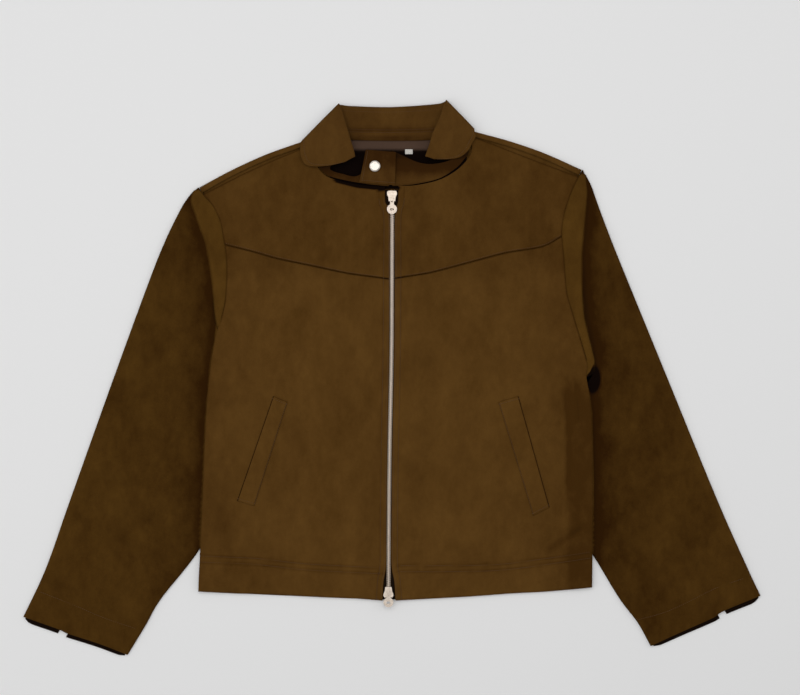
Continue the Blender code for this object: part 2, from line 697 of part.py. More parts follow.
def box_mesh(name, low, high):
    solid = bmesh.new()
    bmesh.ops.create_cube(solid, size=1)
    for vertex in solid.verts:
        vertex.co = [(a + b) / 2 * MM + c * (b - a) * MM for a, b, c in zip(low, high, vertex.co)]
    mesh = bpy.data.meshes.new(name)
    solid.to_mesh(mesh)
    solid.free()
    return mesh


def combine(item, tool_mesh, operation):
    """Adds or cuts a helper shape; the helper stays in the cutters' collection."""
    tool = bpy_objects.new(f"{item.name}_{operation.lower()}_{len(item.modifiers)}", tool_mesh)
    tool.location = item.location
    tool.hide_render = True
    tool.display_type = "WIRE"
    cutters.objects.link(tool)
    modifier = item.modifiers.new(operation.lower(), "BOOLEAN")
    modifier.operation = operation
    modifier.object = tool


def slider(name, body, wide, bail_y, tilt):
    half = [(x, wide * y) for x, y in SLIDER_OUTLINE]
    outline = half + [(-x, y) for x, y in reversed(half)]
    middle = (SLIDER_LOW + SLIDER_HIGH) / 2
    mesh = flat_outline(f"slider_{name}", [outline], (SLIDER_HIGH - SLIDER_LOW) / 2)
    item = add_object(f"slider_{name}", mesh, METAL, 0.35, 1.0)
    item.location = (body[0] * MM, body[1] * MM, middle * MM)
    low, high = PASSAGE[0] - middle, PASSAGE[1] - middle
    bridge_end = 7.5 - BRIDGE_LENGTH
    near, far = sorted((wide * -9, wide * bridge_end))
    combine(item, box_mesh("passage", (-9, near, low), (9, far, high)), "DIFFERENCE")
    near, far = sorted((wide * (bridge_end - 1), wide * 9))
    for sign in (-1, 1):
        left, right = sorted((sign * BRIDGE_HALF, sign * 9))
        combine(item, box_mesh("tape_slot", (left, near, low), (right, far, high)), "DIFFERENCE")
    offset = bail_y - body[1]
    combine(item, box_mesh("bail", (-BAIL_HALF, offset - BAIL_REACH, SLIDER_HIGH - 0.8 - middle),
                           (BAIL_HALF, offset + BAIL_REACH, BAIL_TOP - middle)), "UNION")
    combine(item, box_mesh("eye", (-3, offset - EYE_HALF, EYE[0] - middle),
                           (3, offset + EYE_HALF, EYE[1] - middle)), "DIFFERENCE")


def ellipse(x, y, half_x, half_y, count):
    return [(x + half_x * math.cos(2 * math.pi * k / count), y + half_y * math.sin(2 * math.pi * k / count))
            for k in range(count)]


PULL_HALF = 0.7
RING_RADIUS = 7.0
RING_Y = -13.5        # ring's middle from the crossbar


def pull(name, body, wide, bail_y, tilt):
    """Pull tab: a loop round the bail, a neck and a ring, resting on the chain."""
    start = math.radians(90) - 0.38
    ring = [(RING_RADIUS * math.cos(a), RING_Y + RING_RADIUS * math.sin(a))
            for a in [start - (2 * math.pi - 0.76) * k / 22 for k in range(23)]]
    outline = [(2.7, 0.7), (2.7, -4.6), *ring, (-2.7, -4.6), (-2.7, 0.7)]
    loop_hole = [(1.6, -0.7), (1.6, -3.9), (-1.6, -3.9), (-1.6, -0.7)]
    mesh = flat_outline(f"pull_{name}", [outline, loop_hole, ellipse(0, RING_Y - 0.5, 3.0, 1.8, 12)], PULL_HALF)
    item = add_object(f"pull_{name}", mesh, METAL, 0.35, 1.0)
    item.location = (body[0] * MM, (bail_y + PIN_Y) * MM, PIN_Z * MM)
    item.rotation_euler = (math.radians(tilt), 0, 0)


for name, spec in SLIDERS.items():
    slider(name, **spec)
    pull(name, **spec)

# ---------------------------------------------------------------- snap cap on the throat tab
SNAP_RADIUS = 8.0
SNAP_AT = (-24.1, 300.3, 12.6)
SNAP_PROFILE = ((SNAP_RADIUS - 0.8, 0.0), (SNAP_RADIUS, 0.5), (SNAP_RADIUS - 0.5, 1.2), (SNAP_RADIUS - 2.2, 1.8))


def snap_cap():
    cap = bmesh.new()
    bmesh.ops.create_cone(cap, cap_ends=True, segments=20, radius1=SNAP_PROFILE[0][0] * MM,
                          radius2=SNAP_PROFILE[1][0] * MM, depth=0.5 * MM)
    for (r0, z0), (r1, z1) in zip(SNAP_PROFILE[1:], SNAP_PROFILE[2:]):
        top = max(cap.faces, key=lambda face: face.calc_center_median().z)
        made = bmesh.ops.extrude_face_region(cap, geom=[top])
        bmesh.ops.delete(cap, geom=[top], context="FACES")
        verts = [v for v in made["geom"] if isinstance(v, bmesh.types.BMVert)]
        bmesh.ops.scale(cap, vec=(r1 / r0, r1 / r0, 1), verts=verts)
        bmesh.ops.translate(cap, vec=(0, 0, (z1 - z0) * MM), verts=verts)
    mesh = bpy.data.meshes.new("snap")
    cap.to_mesh(mesh)
    cap.free()
    item = add_object("snap", mesh, METAL, 0.3, 1.0)
    item.location = Vector(SNAP_AT) * MM


snap_cap()
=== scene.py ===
"""Suede zip jacket laid flat on its back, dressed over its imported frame.

Suede walls, woven lining, stitch rows and a two-way metal zip take the place of the plain solids.
"""

import bisect
import math

import bmesh
import bpy
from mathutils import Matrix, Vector, noise


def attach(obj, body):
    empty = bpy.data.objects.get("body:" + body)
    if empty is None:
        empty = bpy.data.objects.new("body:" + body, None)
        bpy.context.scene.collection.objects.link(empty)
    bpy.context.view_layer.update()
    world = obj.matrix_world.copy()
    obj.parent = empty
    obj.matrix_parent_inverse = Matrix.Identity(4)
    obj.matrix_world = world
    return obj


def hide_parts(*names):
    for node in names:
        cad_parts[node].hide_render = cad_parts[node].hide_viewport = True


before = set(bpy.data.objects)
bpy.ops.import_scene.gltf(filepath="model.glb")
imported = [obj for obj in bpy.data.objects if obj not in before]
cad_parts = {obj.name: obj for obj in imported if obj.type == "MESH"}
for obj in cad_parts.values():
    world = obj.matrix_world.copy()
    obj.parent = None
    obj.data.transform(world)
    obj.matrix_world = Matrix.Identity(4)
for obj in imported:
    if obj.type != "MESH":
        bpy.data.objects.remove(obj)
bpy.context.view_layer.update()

# ---------------------------------------------------------------- fronts
# Two suede front panels, each cut in one piece, with a turned facing along the zip and a deep hem.
# They are sewn to the yokes above, roll over to the back at the sides and lie on the sleeves' inner folds.

# Lengths are in mm: x to the right, y towards the collar, z up. Edges and seams of paired pieces run down
# or from the side to the middle; stitch rows and the lines of single pieces run down or from left to right.
MM = 0.001
SIDES = ("left", "right")
WALL = 1.6                # thickness of the suede
SEAM = 0.3                # play between pieces that are sewn together
ROLL_LOW = SEAM + WALL
LAYER = 0.4               # air between two layers that lie on each other
BODY_GAP = 2.4            # room inside the body, and the least and most that its folds leave
BODY_GAP_MIN = 0.6
BODY_GAP_MAX = 3.8
TUCKED_GAP_LOSS = 1.4     # how much of that room goes where a sleeve is tucked below
BODY_LIFT = 2 * WALL + 2 * LAYER
EDGE = 4.2                # reach of the round at a folded edge
NECK_CENTER_Y = 312
NECK_CALM, NECK_CALM_FADE = 112, 50    # the suede lies smooth this near the neck and the zip
ZIP_CALM, ZIP_CALM_FADE = 12, 30
TANGENT_STEP = 0.01       # share of a line over which its direction is taken
TONE_ATTRIBUTE = "nap_and_shade"    # how much lighter or darker each point of a piece is coloured, mostly painted shade and painted shadow
BODY_EDGE = {
    "left": ((-275, 271), (-268, 261), (-254, 245), (-244, 224), (-239, 200), (-235, 173), (-234, 146),
             (-236, 110), (-242, 84), (-250, 60), (-258, 10), (-264, -60), (-270, -200), (-275, -302)),
    "right": ((271, 296), (265, 286), (256, 268), (246, 239), (241, 209), (244, 170), (248, 121),
              (257, 90), (276, 24), (276, 2), (283, -48), (285, -150), (284, -296)),
}
ARMPIT_Y = {"left": 80, "right": 22}
YOKE_END_Y = {"left": 190, "right": 202}
YOKE_SEAM = {
    "left": ((-237, 190), (-197, 180), (-162, 170), (-114, 160), (-62, 149), (-3.4, 141)),
    "right": ((241, 202), (213, 187), (160, 178), (111, 165), (54, 150), (4.1, 142)),
}
HEM = {
    "left": ((-275, -302), (-219, -305), (-162, -306), (-102, -310), (-53, -312), (-13.5, -315)),
    "right": ((284, -296), (222, -302), (168, -305), (114, -309), (60, -312), (5, -315)),
}
FRONT_EDGE = {
    "left": ((-10, 272), (-9.4, 250), (-3.2, 232), (-3.4, 141), (-4.3, 20), (-6.7, -100), (-7.8, -200),
             (-8.2, -262), (-12, -288), (-13.5, -315)),
    "right": ((9, 273), (8.6, 250), (4.3, 232), (4.1, 142), (3.1, 20), (0.6, -100), (-0.5, -200),
              (-0.7, -262), (3.4, -288), (5, -315)),
}
EDGE_YOKE_POINTS = 4      # points of that edge that belong to the yoke
SLEEVE_INNER = {
    "left": ((-213, 50), (-201, 27), (-199, -9), (-207, -87), (-230, -168), (-277, -248), (-328, -313),
             (-350, -351), (-375, -392)),
    "right": ((258, -3), (243, -26), (228, -60), (224, -100), (233, -151), (258, -211), (288, -255),
              (322, -311), (349, -347), (367, -379.5)),
}
# Folds of the fronts: x0, y0, x1, y1 of the line, half width, height
FRONT_FOLDS = (
    (0, 270, -3, -315, 70, 1.1),
    (-250, 240, -236, 120, 60, 1.4),
    (250, 255, 250, 110, 60, 1.4),
    (-275, 271, -99, 347, 40, -0.6),
    (271, 296, 94, 357, 40, -0.6),
    (249, -5, 250, -190, 9, -1.5),
    (262, -12, 263, -55, 8, -1.2),
    (264, -214, 220, -244, 12, -1.3),
    (-150, 60, -120, -40, 55, 0.8),
    (120, 90, 150, -30, 60, 0.8),
    (-200, -120, -150, -230, 45, -0.8),
    (90, -160, 130, -270, 50, -0.8),
)
# Finer creases that only the dressed suede carries; those of the right side also get painted shade
SIDE_CREASES = (
    (249, 0, 251, -188, 7, -1.6),
    (258, 60, 246, -8, 12, 0.9),
    (243, 4, 244, -32, 6, -0.9),
    (262, -10, 264, -58, 6, -1.1),
    (266, -212, 222, -243, 8, -1.4),
    (274, -120, 240, -214, 16, 0.9),
)
FRONT_CREASES = (
    *SIDE_CREASES,
    (240, 110, 205, 62, 16, 0.8),
    (236, 84, 190, 40, 12, -0.6),
    (-236, 112, -206, 70, 14, 0.9),
    (-232, 92, -196, 52, 10, -0.7),
    (-215, -10, -222, -150, 22, 0.8),
    (-244, -120, -236, -230, 16, -0.7),
    (-100, 30, -84, -110, 26, 0.7),
    (-62, 90, -70, -40, 18, -0.5),
    (-128, -190, -150, -262, 16, 0.6),
    (-52, -150, -46, -250, 20, 0.6),
    (70, 60, 84, -90, 26, 0.7),
    (118, -60, 104, -180, 20, -0.5),
    (60, -150, 52, -255, 18, 0.5),
    (186, -30, 194, -20, 18, 0.7),
    (205, -200, 186, -262, 16, 0.6),
    (-30, 130, -34, -60, 12, 0.5),
    (32, 120, 36, -120, 12, 0.5),
    (-150, 262, -90, 205, 26, 0.6),
    (140, 285, 92, 215, 26, 0.6),
    (-205, 250, -190, 196, 18, -0.5),
    (200, 262, 188, 205, 18, -0.5),
)


def side_of(x):
    return "left" if x < 0 else "right"


def smooth_line(points):
    """A curve through the points, as a function of the share of its length."""
    points = [Vector(p) for p in points]
    lengths = [0.0]
    for a, b in zip(points, points[1:]):
        lengths.append(lengths[-1] + (b - a).length)
    ahead = [2 * points[0] - points[1]] + points + [2 * points[-1] - points[-2]]

    def at(share):
        distance = min(max(share, 0.0), 1.0) * lengths[-1]
        k = min(bisect.bisect_right(lengths, distance) - 1, len(points) - 2)
        t = (distance - lengths[k]) / (lengths[k + 1] - lengths[k])
        a, b, c, d = ahead[k:k + 4]
        return 0.5 * (2 * b + (c - a) * t + (2 * a - 5 * b + 4 * c - d) * t * t
                      + (3 * b - a - 3 * c + d) * t ** 3)
    return at


def share_at(line, y):
    """Share of a downward line at which it passes the height y."""
    low, high = 0.0, 1.0
    for _ in range(40):
        middle = (low + high) / 2
        low, high = (middle, high) if line(middle).y > y else (low, middle)
    return low


def stretch(line, start, end):
    """The part of a line between two shares of its length."""
    return lambda t: line(start + (end - start) * t)


def beside(line, t, distance):
    """Point at a share of a line, moved to the right of the way the line runs."""
    along = line(min(t + TANGENT_STEP, 1)) - line(max(t - TANGENT_STEP, 0))
    return line(t) + Vector((along.y, -along.x)).normalized() * distance


def on_quad(corners, u, v):
    """Point between four corners: near left, near right, far left and far right."""
    near_left, near_right, far_left, far_right = corners
    return (near_left * (1 - u) + near_right * u) * (1 - v) + (far_left * (1 - u) + far_right * u) * v


def patch(start, end, low, high):
    """The plan of a panel between four seams: start and end run along u, low and high along v."""
    corner = (start(0), start(1), end(0), end(1))

    def at(u, v):
        across = start(u) * (1 - v) + end(u) * v
        along = low(v) * (1 - u) + high(v) * u
        bilinear = (corner[0] * (1 - u) + corner[1] * u) * (1 - v) + (corner[2] * (1 - u) + corner[3] * u) * v
        return across + along - bilinear
    return at


def distance_to_line(x, y, points):
    best = math.inf
    for (x0, y0), (x1, y1) in zip(points, points[1:]):
        dx, dy = x1 - x0, y1 - y0
        t = min(max(((x - x0) * dx + (y - y0) * dy) / (dx * dx + dy * dy), 0.0), 1.0)
        best = min(best, math.hypot(x - x0 - t * dx, y - y0 - t * dy))
    return best


def inside(x, y, polygon):
    hit = False
    for (x0, y0), (x1, y1) in zip(polygon, polygon[1:] + polygon[:1]):
        if (y0 > y) != (y1 > y) and x < x0 + (y - y0) * (x1 - x0) / (y1 - y0):
            hit = not hit
    return hit


def ease(t):
    t = min(max(t, 0.0), 1.0)
    return t * t * (3 - 2 * t)


def folds(x, y, table):
    """Height that the folds of a table add, each a soft ridge or valley along its line."""
    total = 0.0
    for x0, y0, x1, y1, half_width, height in table:
        near_x = min(x0, x1) - half_width < x < max(x0, x1) + half_width
        if near_x and min(y0, y1) - half_width < y < max(y0, y1) + half_width:
            t = distance_to_line(x, y, ((x0, y0), (x1, y1))) / half_width
            if t < 1:
                total += height * (1 - t * t) ** 2
    return total


FINE_RIPPLE = (17.0, 24.0)
FINE_RIPPLE_SHARE = 0.28


def ripple(x, y, seed, size=58.0, height=0.55):
    """Slow unevenness of cloth that has been worn and laid down."""
    broad = noise.noise(Vector((x / size, y / (size * 1.5), seed)))
    close = noise.noise(Vector((x / FINE_RIPPLE[0], y / FINE_RIPPLE[1], seed + 7)))
    return height * (broad + FINE_RIPPLE_SHARE * close)


LIFT_CLEAR = 30.0         # the body stays raised this far beside a tucked sleeve, and sinks over the ramp
LIFT_RAMP = 46.0
TUCKED = {"left": [(-255, 82), (-238, 76), *SLEEVE_INNER["left"][:6]],
          "right": [(295, 26), (270, 20), *SLEEVE_INNER["right"][:7]]}
TUCKED_REGION = {"left": TUCKED["left"] + [(-400, -248), (-400, 82)],
                 "right": TUCKED["right"] + [(400, -255), (400, 26)]}


def lift(x, y):
    """How far the sleeve tucked below raises the body."""
    side = side_of(x)
    if inside(x, y, TUCKED_REGION[side]):
        return BODY_LIFT
    distance = distance_to_line(x, y, TUCKED[side])
    return BODY_LIFT * (1 - ease((distance - LIFT_CLEAR) / LIFT_RAMP))


def front_top(x, y):
    """Height of the front's upper face."""
    raised = lift(x, y)
    gap = BODY_GAP + folds(x, y, FRONT_FOLDS) - TUCKED_GAP_LOSS * raised / BODY_LIFT
    from_neck = math.hypot(x, y - NECK_CENTER_Y)
    loose = ease((from_neck - NECK_CALM) / NECK_CALM_FADE) * ease((abs(x) - ZIP_CALM) / ZIP_CALM_FADE)
    fine = (folds(x, y, FRONT_CREASES) + ripple(x, y, 3.0)) * loose
    return raised + 2 * WALL + min(max(gap, BODY_GAP_MIN), BODY_GAP_MAX) + fine


def rolled(top, low, distance, reach=EDGE):
    """Height of a wall that rolls down to `low` at a folded edge."""
    if distance >= reach:
        return top
    return low + (top - low) * math.sqrt(max(0.0, 1 - (1 - distance / reach) ** 2))


def turned(distance, depth=0.9, reach=2.4):
    """How much lower the wall lies beside a seam, where its edge is turned in."""
    return depth * (1 - ease(distance / reach))


def pressed(distance, depth=0.4, reach=1.5):
    """How far a row of stitches presses the suede down."""
    return depth * (1 - ease(abs(distance) / reach))


def graded(length, step, from_start=(), from_end=()):
    """Shares of a length at a regular step, with extra ones at given distances from its ends."""
    count = max(2, round(length / step))
    shares = {round(k / count, 6) for k in range(count + 1)}
    extra = [d / length for d in from_start] + [1 - d / length for d in from_end]
    for share in extra:
        shares = {s for s in shares if abs(s - share) * length > 0.45 * min(step, 1.2) or s in (0.0, 1.0)}
    return sorted(shares | {round(s, 6) for s in extra})


def add_item(name, content):
    item = bpy.data.objects.new(name, content)
    bpy.context.scene.collection.objects.link(item)
    return item


def cloth_wall(name, us, vs, place, wall=WALL, under=None, tone=None):
    """A closed wall of cloth: place(u, v) is its upper face in mm; `tone` darkens or lightens its colour,
    mostly as painted shade.
    """
    width = len(us)
    upper = [[Vector(place(u, v)) for u in us] for v in vs]
    if under:
        lower = [[Vector(under(u, v)) for u in us] for v in vs]
    else:
        lower = [[p - Vector((0, 0, wall)) for p in row] for row in upper]
    solid = bmesh.new()
    bmesh.ops.create_grid(solid, x_segments=width - 1, y_segments=len(vs) - 1, size=0.5)
    shade = solid.verts.layers.float.new(TONE_ATTRIBUTE)
    grid = list(solid.verts)
    made = bmesh.ops.extrude_face_region(solid, geom=solid.faces[:], use_keep_orig=True)["geom"]
    below = [item for item in made if isinstance(item, bmesh.types.BMVert)]
    for vertices, surface in ((below, lower), (grid, upper)):
        for vertex in vertices:
            i = round((vertex.co.x + 0.5) * (width - 1))
            j = round((vertex.co.y + 0.5) * (len(vs) - 1))
            point = surface[j][i]
            vertex[shade] = tone(point.x, point.y) if tone else 0.0
            vertex.co = point * MM
    bmesh.ops.recalc_face_normals(solid, faces=solid.faces)
    for face in solid.faces:
        face.smooth = True
    mesh = bpy.data.meshes.new(name)
    solid.to_mesh(mesh)
    solid.free()
    return add_item(name, mesh)


def finish_piece(item, node, slot, material, **cut):
    """Gives a piece its cloth, hides the imported part of the node it stands for and joins it to the jacket's
    body; the flat cut it is given is not used.
    """
    item.data.materials.append(material)
    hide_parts(node)
    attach(item, "jacket")


def add_node(tree, kind, **values):
    """A node with its sockets and settings given by name."""
    made = tree.nodes.new(kind)
    for key, value in values.items():
        if key in made.inputs:
            made.inputs[key].default_value = value
        else:
            setattr(made, key, value)
    return made


def feed(tree, given, socket):
    """Puts a number, a colour or another node's output into a socket."""
    if isinstance(given, bpy.types.NodeSocket):
        tree.links.new(given, socket)
    else:
        socket.default_value = given


def multiply_add(tree, value, factor, addend, clamp=False):
    made = add_node(tree, "ShaderNodeMath", operation="MULTIPLY_ADD", use_clamp=clamp)
    for given, socket in zip((value, factor, addend), made.inputs):
        feed(tree, given, socket)
    return made.outputs[0]


def mix_colours(tree, share, low, high):
    made = add_node(tree, "ShaderNodeMix", data_type="RGBA")
    for given, socket in ((share, 0), (low, 6), (high, 7)):
        feed(tree, given, made.inputs[socket])
    return made.outputs[2]


def noise_texture(tree, coords, **settings):
    made = add_node(tree, "ShaderNodeTexNoise", **settings)
    tree.links.new(coords, made.inputs["Vector"])
    return made.outputs["Fac"]


def new_material(name):
    material = bpy.data.materials.new(name)
    material.use_nodes = True
    return material, material.node_tree, material.node_tree.nodes["Principled BSDF"]


NAP_STRETCH = (1.0, 0.62, 1.0)                # the nap's patches run along the garment
PATCH_WEIGHT, SMEAR_WEIGHT = 0.85, 0.5
FIBRE_WEIGHT, PORE_WEIGHT = 0.3, 0.25
DEEP_SHADE = (0.0030, 0.0010, 0.0006, 1)      # painted shadow colour in deep folds and gaps
DEEP_GAIN, DEEP_START = -1.4, -0.9            # it sets in where the tone goes below about -0.64
NAP_ROUGHNESS = (0.86, 1.0)


def suede_nap_and_shade_group():
    """Nap of brushed hide: patches where it lies differently and fine fibres, and a tone from the cut piece
    that holds painted shade, turning to a painted near-black shadow where it is very low.
    """
    group = bpy.data.node_groups.new("suede_nap_and_shade", "ShaderNodeTree")
    sockets = group.interface
    for label, kind in (("Nap up", "NodeSocketColor"), ("Nap down and shade", "NodeSocketColor"),
                        ("Patches", "NodeSocketFloat"), ("Tone", "NodeSocketFloat")):
        sockets.new_socket(label, in_out="INPUT", socket_type=kind)
    sockets.new_socket("Color", in_out="OUTPUT", socket_type="NodeSocketColor")
    sockets.new_socket("Height", in_out="OUTPUT", socket_type="NodeSocketFloat")
    sockets.new_socket("Roughness", in_out="OUTPUT", socket_type="NodeSocketFloat")
    link = group.links.new
    given = add_node(group, "NodeGroupInput")
    out = add_node(group, "NodeGroupOutput")
    plain = add_node(group, "ShaderNodeTexCoord").outputs["Object"]
    mapping = add_node(group, "ShaderNodeMapping", Scale=NAP_STRETCH)
    link(plain, mapping.inputs["Vector"])
    stretched = mapping.outputs["Vector"]
    patches = noise_texture(group, stretched, Scale=20.0, Detail=3.0, Roughness=0.55, Distortion=0.3)
    smears = noise_texture(group, stretched, Scale=90.0, Detail=2.0, Roughness=0.6)
    fibres = noise_texture(group, plain, Scale=1500.0, Detail=2.0, Roughness=0.7)
    pores = noise_texture(group, plain, Scale=420.0, Detail=3.0, Roughness=0.7)

    def weighed(first, second, first_weight, second_weight):
        """Sum of two textures round zero."""
        start = multiply_add(group, first, first_weight, -0.5 * first_weight - 0.5 * second_weight)
        return multiply_add(group, second, second_weight, start)

    def added(first, second, clamp=False):
        made = add_node(group, "ShaderNodeMath", operation="ADD", use_clamp=clamp)
        link(first, made.inputs[0])
        link(second, made.inputs[1])
        return made.outputs[0]

    uneven = weighed(patches, smears, PATCH_WEIGHT, SMEAR_WEIGHT)
    speckle = weighed(fibres, pores, FIBRE_WEIGHT, PORE_WEIGHT)
    toned = added(multiply_add(group, uneven, given.outputs["Patches"], 0.5), given.outputs["Tone"])
    specked = added(toned, speckle, clamp=True)
    colour = mix_colours(group, specked, given.outputs["Nap down and shade"], given.outputs["Nap up"])
    # Painted shadow: where the tone is very low the colour goes to DEEP_SHADE.
    depth = multiply_add(group, given.outputs["Tone"], DEEP_GAIN, DEEP_START, clamp=True)
    link(mix_colours(group, depth, colour, DEEP_SHADE), out.inputs["Color"])
    link(multiply_add(group, pores, 0.6, fibres), out.inputs["Height"])
    rough = add_node(group, "ShaderNodeMapRange")
    link(specked, rough.inputs["Value"])
    rough.inputs["To Min"].default_value, rough.inputs["To Max"].default_value = NAP_ROUGHNESS
    link(rough.outputs["Result"], out.inputs["Roughness"])
    return group


SUEDE_NAP_AND_SHADE = suede_nap_and_shade_group()
FUZZ_TINT = (0.5, 0.25, 0.06, 1)


def suede_material(name, nap_up, nap_down_and_shade, patches=1.0, fuzz=0.08, bump=0.35):
    """Suede between two colours of its nap, the darker one also serving as painted shade, with a short fuzz
    over it.
    """
    material, tree, shader = new_material(name)
    nap_and_shade = add_node(tree, "ShaderNodeGroup", node_tree=SUEDE_NAP_AND_SHADE)
    nap_and_shade.inputs["Nap up"].default_value = (*nap_up, 1)
    nap_and_shade.inputs["Nap down and shade"].default_value = (*nap_down_and_shade, 1)
    nap_and_shade.inputs["Patches"].default_value = patches
    tone = add_node(tree, "ShaderNodeAttribute", attribute_name=TONE_ATTRIBUTE)
    tree.links.new(tone.outputs["Fac"], nap_and_shade.inputs["Tone"])
    tree.links.new(nap_and_shade.outputs["Color"], shader.inputs["Base Color"])
    tree.links.new(nap_and_shade.outputs["Roughness"], shader.inputs["Roughness"])
    relief = add_node(tree, "ShaderNodeBump", Strength=bump, Distance=0.0006)
    tree.links.new(nap_and_shade.outputs["Height"], relief.inputs["Height"])
    tree.links.new(relief.outputs["Normal"], shader.inputs["Normal"])
    shader.inputs["Specular IOR Level"].default_value = 0.03
    shader.inputs["Sheen Weight"].default_value = fuzz
    shader.inputs["Sheen Roughness"].default_value = 0.6
    shader.inputs["Sheen Tint"].default_value = FUZZ_TINT
    return material


BODY_SUEDE = suede_material("body_suede", (0.123, 0.0585, 0.0125), (0.050, 0.0205, 0.0030))
body_edge = {side: smooth_line(points) for side, points in BODY_EDGE.items()}
HEM_STITCH = {
    "left": ((-272, -251), (-192, -255), (-129, -262), (-60, -266), (-12, -268)),
    "right": ((8, -265), (80, -265), (156, -263), (244, -251), (284, -245)),
}
HEM_STITCH_GAP = 8.5
TAB_SHADOW = ((-78, 281), (-48, 273.5), (-10, 270), (8, 269))
FACING_ROWS = (1.8, 8.5)      # stitch rows this far from the edge beside the zip
FRONT_SIZE = (262, 460)
# Painted shade beside lines: how much darker the colour is painted, how far it reaches and how softly it ends
TAB_SHADE = (2.0, 4.8, 3.2)
HEM_SHADE = (0.30, 3.4, 3)
YOKE_SHADE = (0.55, 2.4, 2)
ARMHOLE_SHADE = (0.40, 2.2, 2)
FACING_SHADE = (0.22, 1.5, 1.3)


def line_shade(distance, shade):
    """How much darker the painted shade is at a distance from a line."""
    depth, reach, softness = shade
    return depth * ease((reach - distance) / softness)


def front_tone(x, y):
    """Tone on the fronts: darker towards the sides and the yoke, painted shadow under the collar tab, painted
    shade under the arm, beside the seams and stitch rows and in the long side creases, lighter on the lower
    front near the zip.
    """
    side = side_of(x)
    to_sides = ease((abs(x) - 190) / 80)
    on_yoke = ease((y - 130) / 40)
    under_arm = ease((x - 242) / 14) * ease((8 - y) / 40)
    beside_zip_low = ease((40 - abs(abs(x) - 60)) / 40) * ease((-120 - y) / 120)
    tone = 0.06 - 0.16 * to_sides - 0.20 * on_yoke
    tone -= line_shade(distance_to_line(x, y, TAB_SHADOW), TAB_SHADE)
    tone -= 0.40 * under_arm
    for below in (0, HEM_STITCH_GAP):
        tone -= line_shade(distance_to_line(x, y + below, HEM_STITCH[side]), HEM_SHADE)
    tone -= line_shade(distance_to_line(x, y, YOKE_SEAM[side]), YOKE_SHADE)
    if y > ARMPIT_Y[side]:
        tone -= line_shade(distance_to_line(x, y, BODY_EDGE[side]), ARMHOLE_SHADE)
    from_zip = distance_to_line(x, y, FRONT_EDGE[side])
    tone -= line_shade(abs(from_zip - FACING_ROWS[1]), FACING_SHADE)
    tone -= 0.30 * max(0.0, -folds(x, y, SIDE_CREASES) / 1.5)
    tone += 0.10 * beside_zip_low
    return tone


def front_panel(side):
    width, height = FRONT_SIZE
    edge = body_edge[side]
    side_edge = stretch(edge, share_at(edge, YOKE_END_Y[side]), 1)
    zip_edge = smooth_line(FRONT_EDGE[side][EDGE_YOKE_POINTS - 1:])
    plan = patch(smooth_line(YOKE_SEAM[side]), smooth_line(HEM[side]), side_edge, zip_edge)
    inset = SEAM / width

    def place(u, v):
        x, y = plan(inset + (1 - inset) * u, inset + (1 - inset) * v)
        row = (plan(1, v) - plan(0, v)).length
        from_zip = (1 - u) * row
        top = front_top(x, y) - turned(v * height) - pressed(from_zip - FACING_ROWS[0])
        top -= pressed(from_zip - FACING_ROWS[1]) + turned(from_zip, 0.5, 1.2)
        for below in (0, HEM_STITCH_GAP):
            top -= pressed(distance_to_line(x, y + below, HEM_STITCH[side]), 0.4, 2.0)
        side_roll = ease((ARMPIT_Y[side] - y + 4) / 8)
        low = lift(x, y) + ROLL_LOW
        top -= turned(u * row) * (1 - side_roll)
        top += (rolled(top, low, u * row) - top) * side_roll
        return x, y, rolled(top, low + 0.6, (1 - v) * height, 5.0)

    us = graded(width, 3.0, (0.4, 1.1, 2.2, 3.4), (0.8, 1.8, 2.8, 7.3, 8.5, 9.7))
    vs = graded(height, 3.4, (0.6, 1.4, 2.4), (0.4, 1.2, 2.6, 4.2))
    item = cloth_wall(f"front_{side}_suede", us, vs, place, tone=front_tone)
    finish_piece(item, f"front_{side}", "suede", BODY_SUEDE,
                 flat=(0.275, 0.52), held="laid", rests_on=["back_suede"], area=0.122)


for side in SIDES:
    front_panel(side)

# ---------------------------------------------------------------- yokes
# Pointed front yokes of the same hide, sewn to the fronts along a falling seam and to the back
# along the shoulders; their neck edge carries the collar and their front edge the top of the zip.
SHOULDER_SEAM = {
    "left": ((-268, 261), (-214, 289), (-170, 309), (-129, 326), (-101, 338)),
    "right": ((265, 286), (193, 313), (142, 333), (119, 341), (96, 350)),
}
SHOULDER_SEAM_Y = {"left": 261, "right": 286}
NECK = {
    "left": ((-101, 338), (-111, 322), (-106, 302), (-95, 288), (-74, 280), (-48, 275), (-10, 272)),
    "right": ((96, 350), (111, 336), (112, 319), (95, 298), (68, 282), (34, 274), (9, 273)),
}
SHOULDER_SHADE = (0.5, 2.6, 2)
NECK_SHARE = 0.5          # share of the yoke's inner edge that lies along the neck
YOKE_SIZE = (235, 160)
YOKE_INSET = SEAM / 120


def joined(first, second, share):
    """Two lines as one, the first up to the given share."""
    def at(t):
        return first(t / share) if t <= share else second((t - share) / (1 - share))
    return at


def yoke_tone(x, y):
    """The fronts' tone, with painted shade in the shoulder seam as well."""
    return front_tone(x, y) - line_shade(distance_to_line(x, y, SHOULDER_SEAM[side_of(x)]), SHOULDER_SHADE)


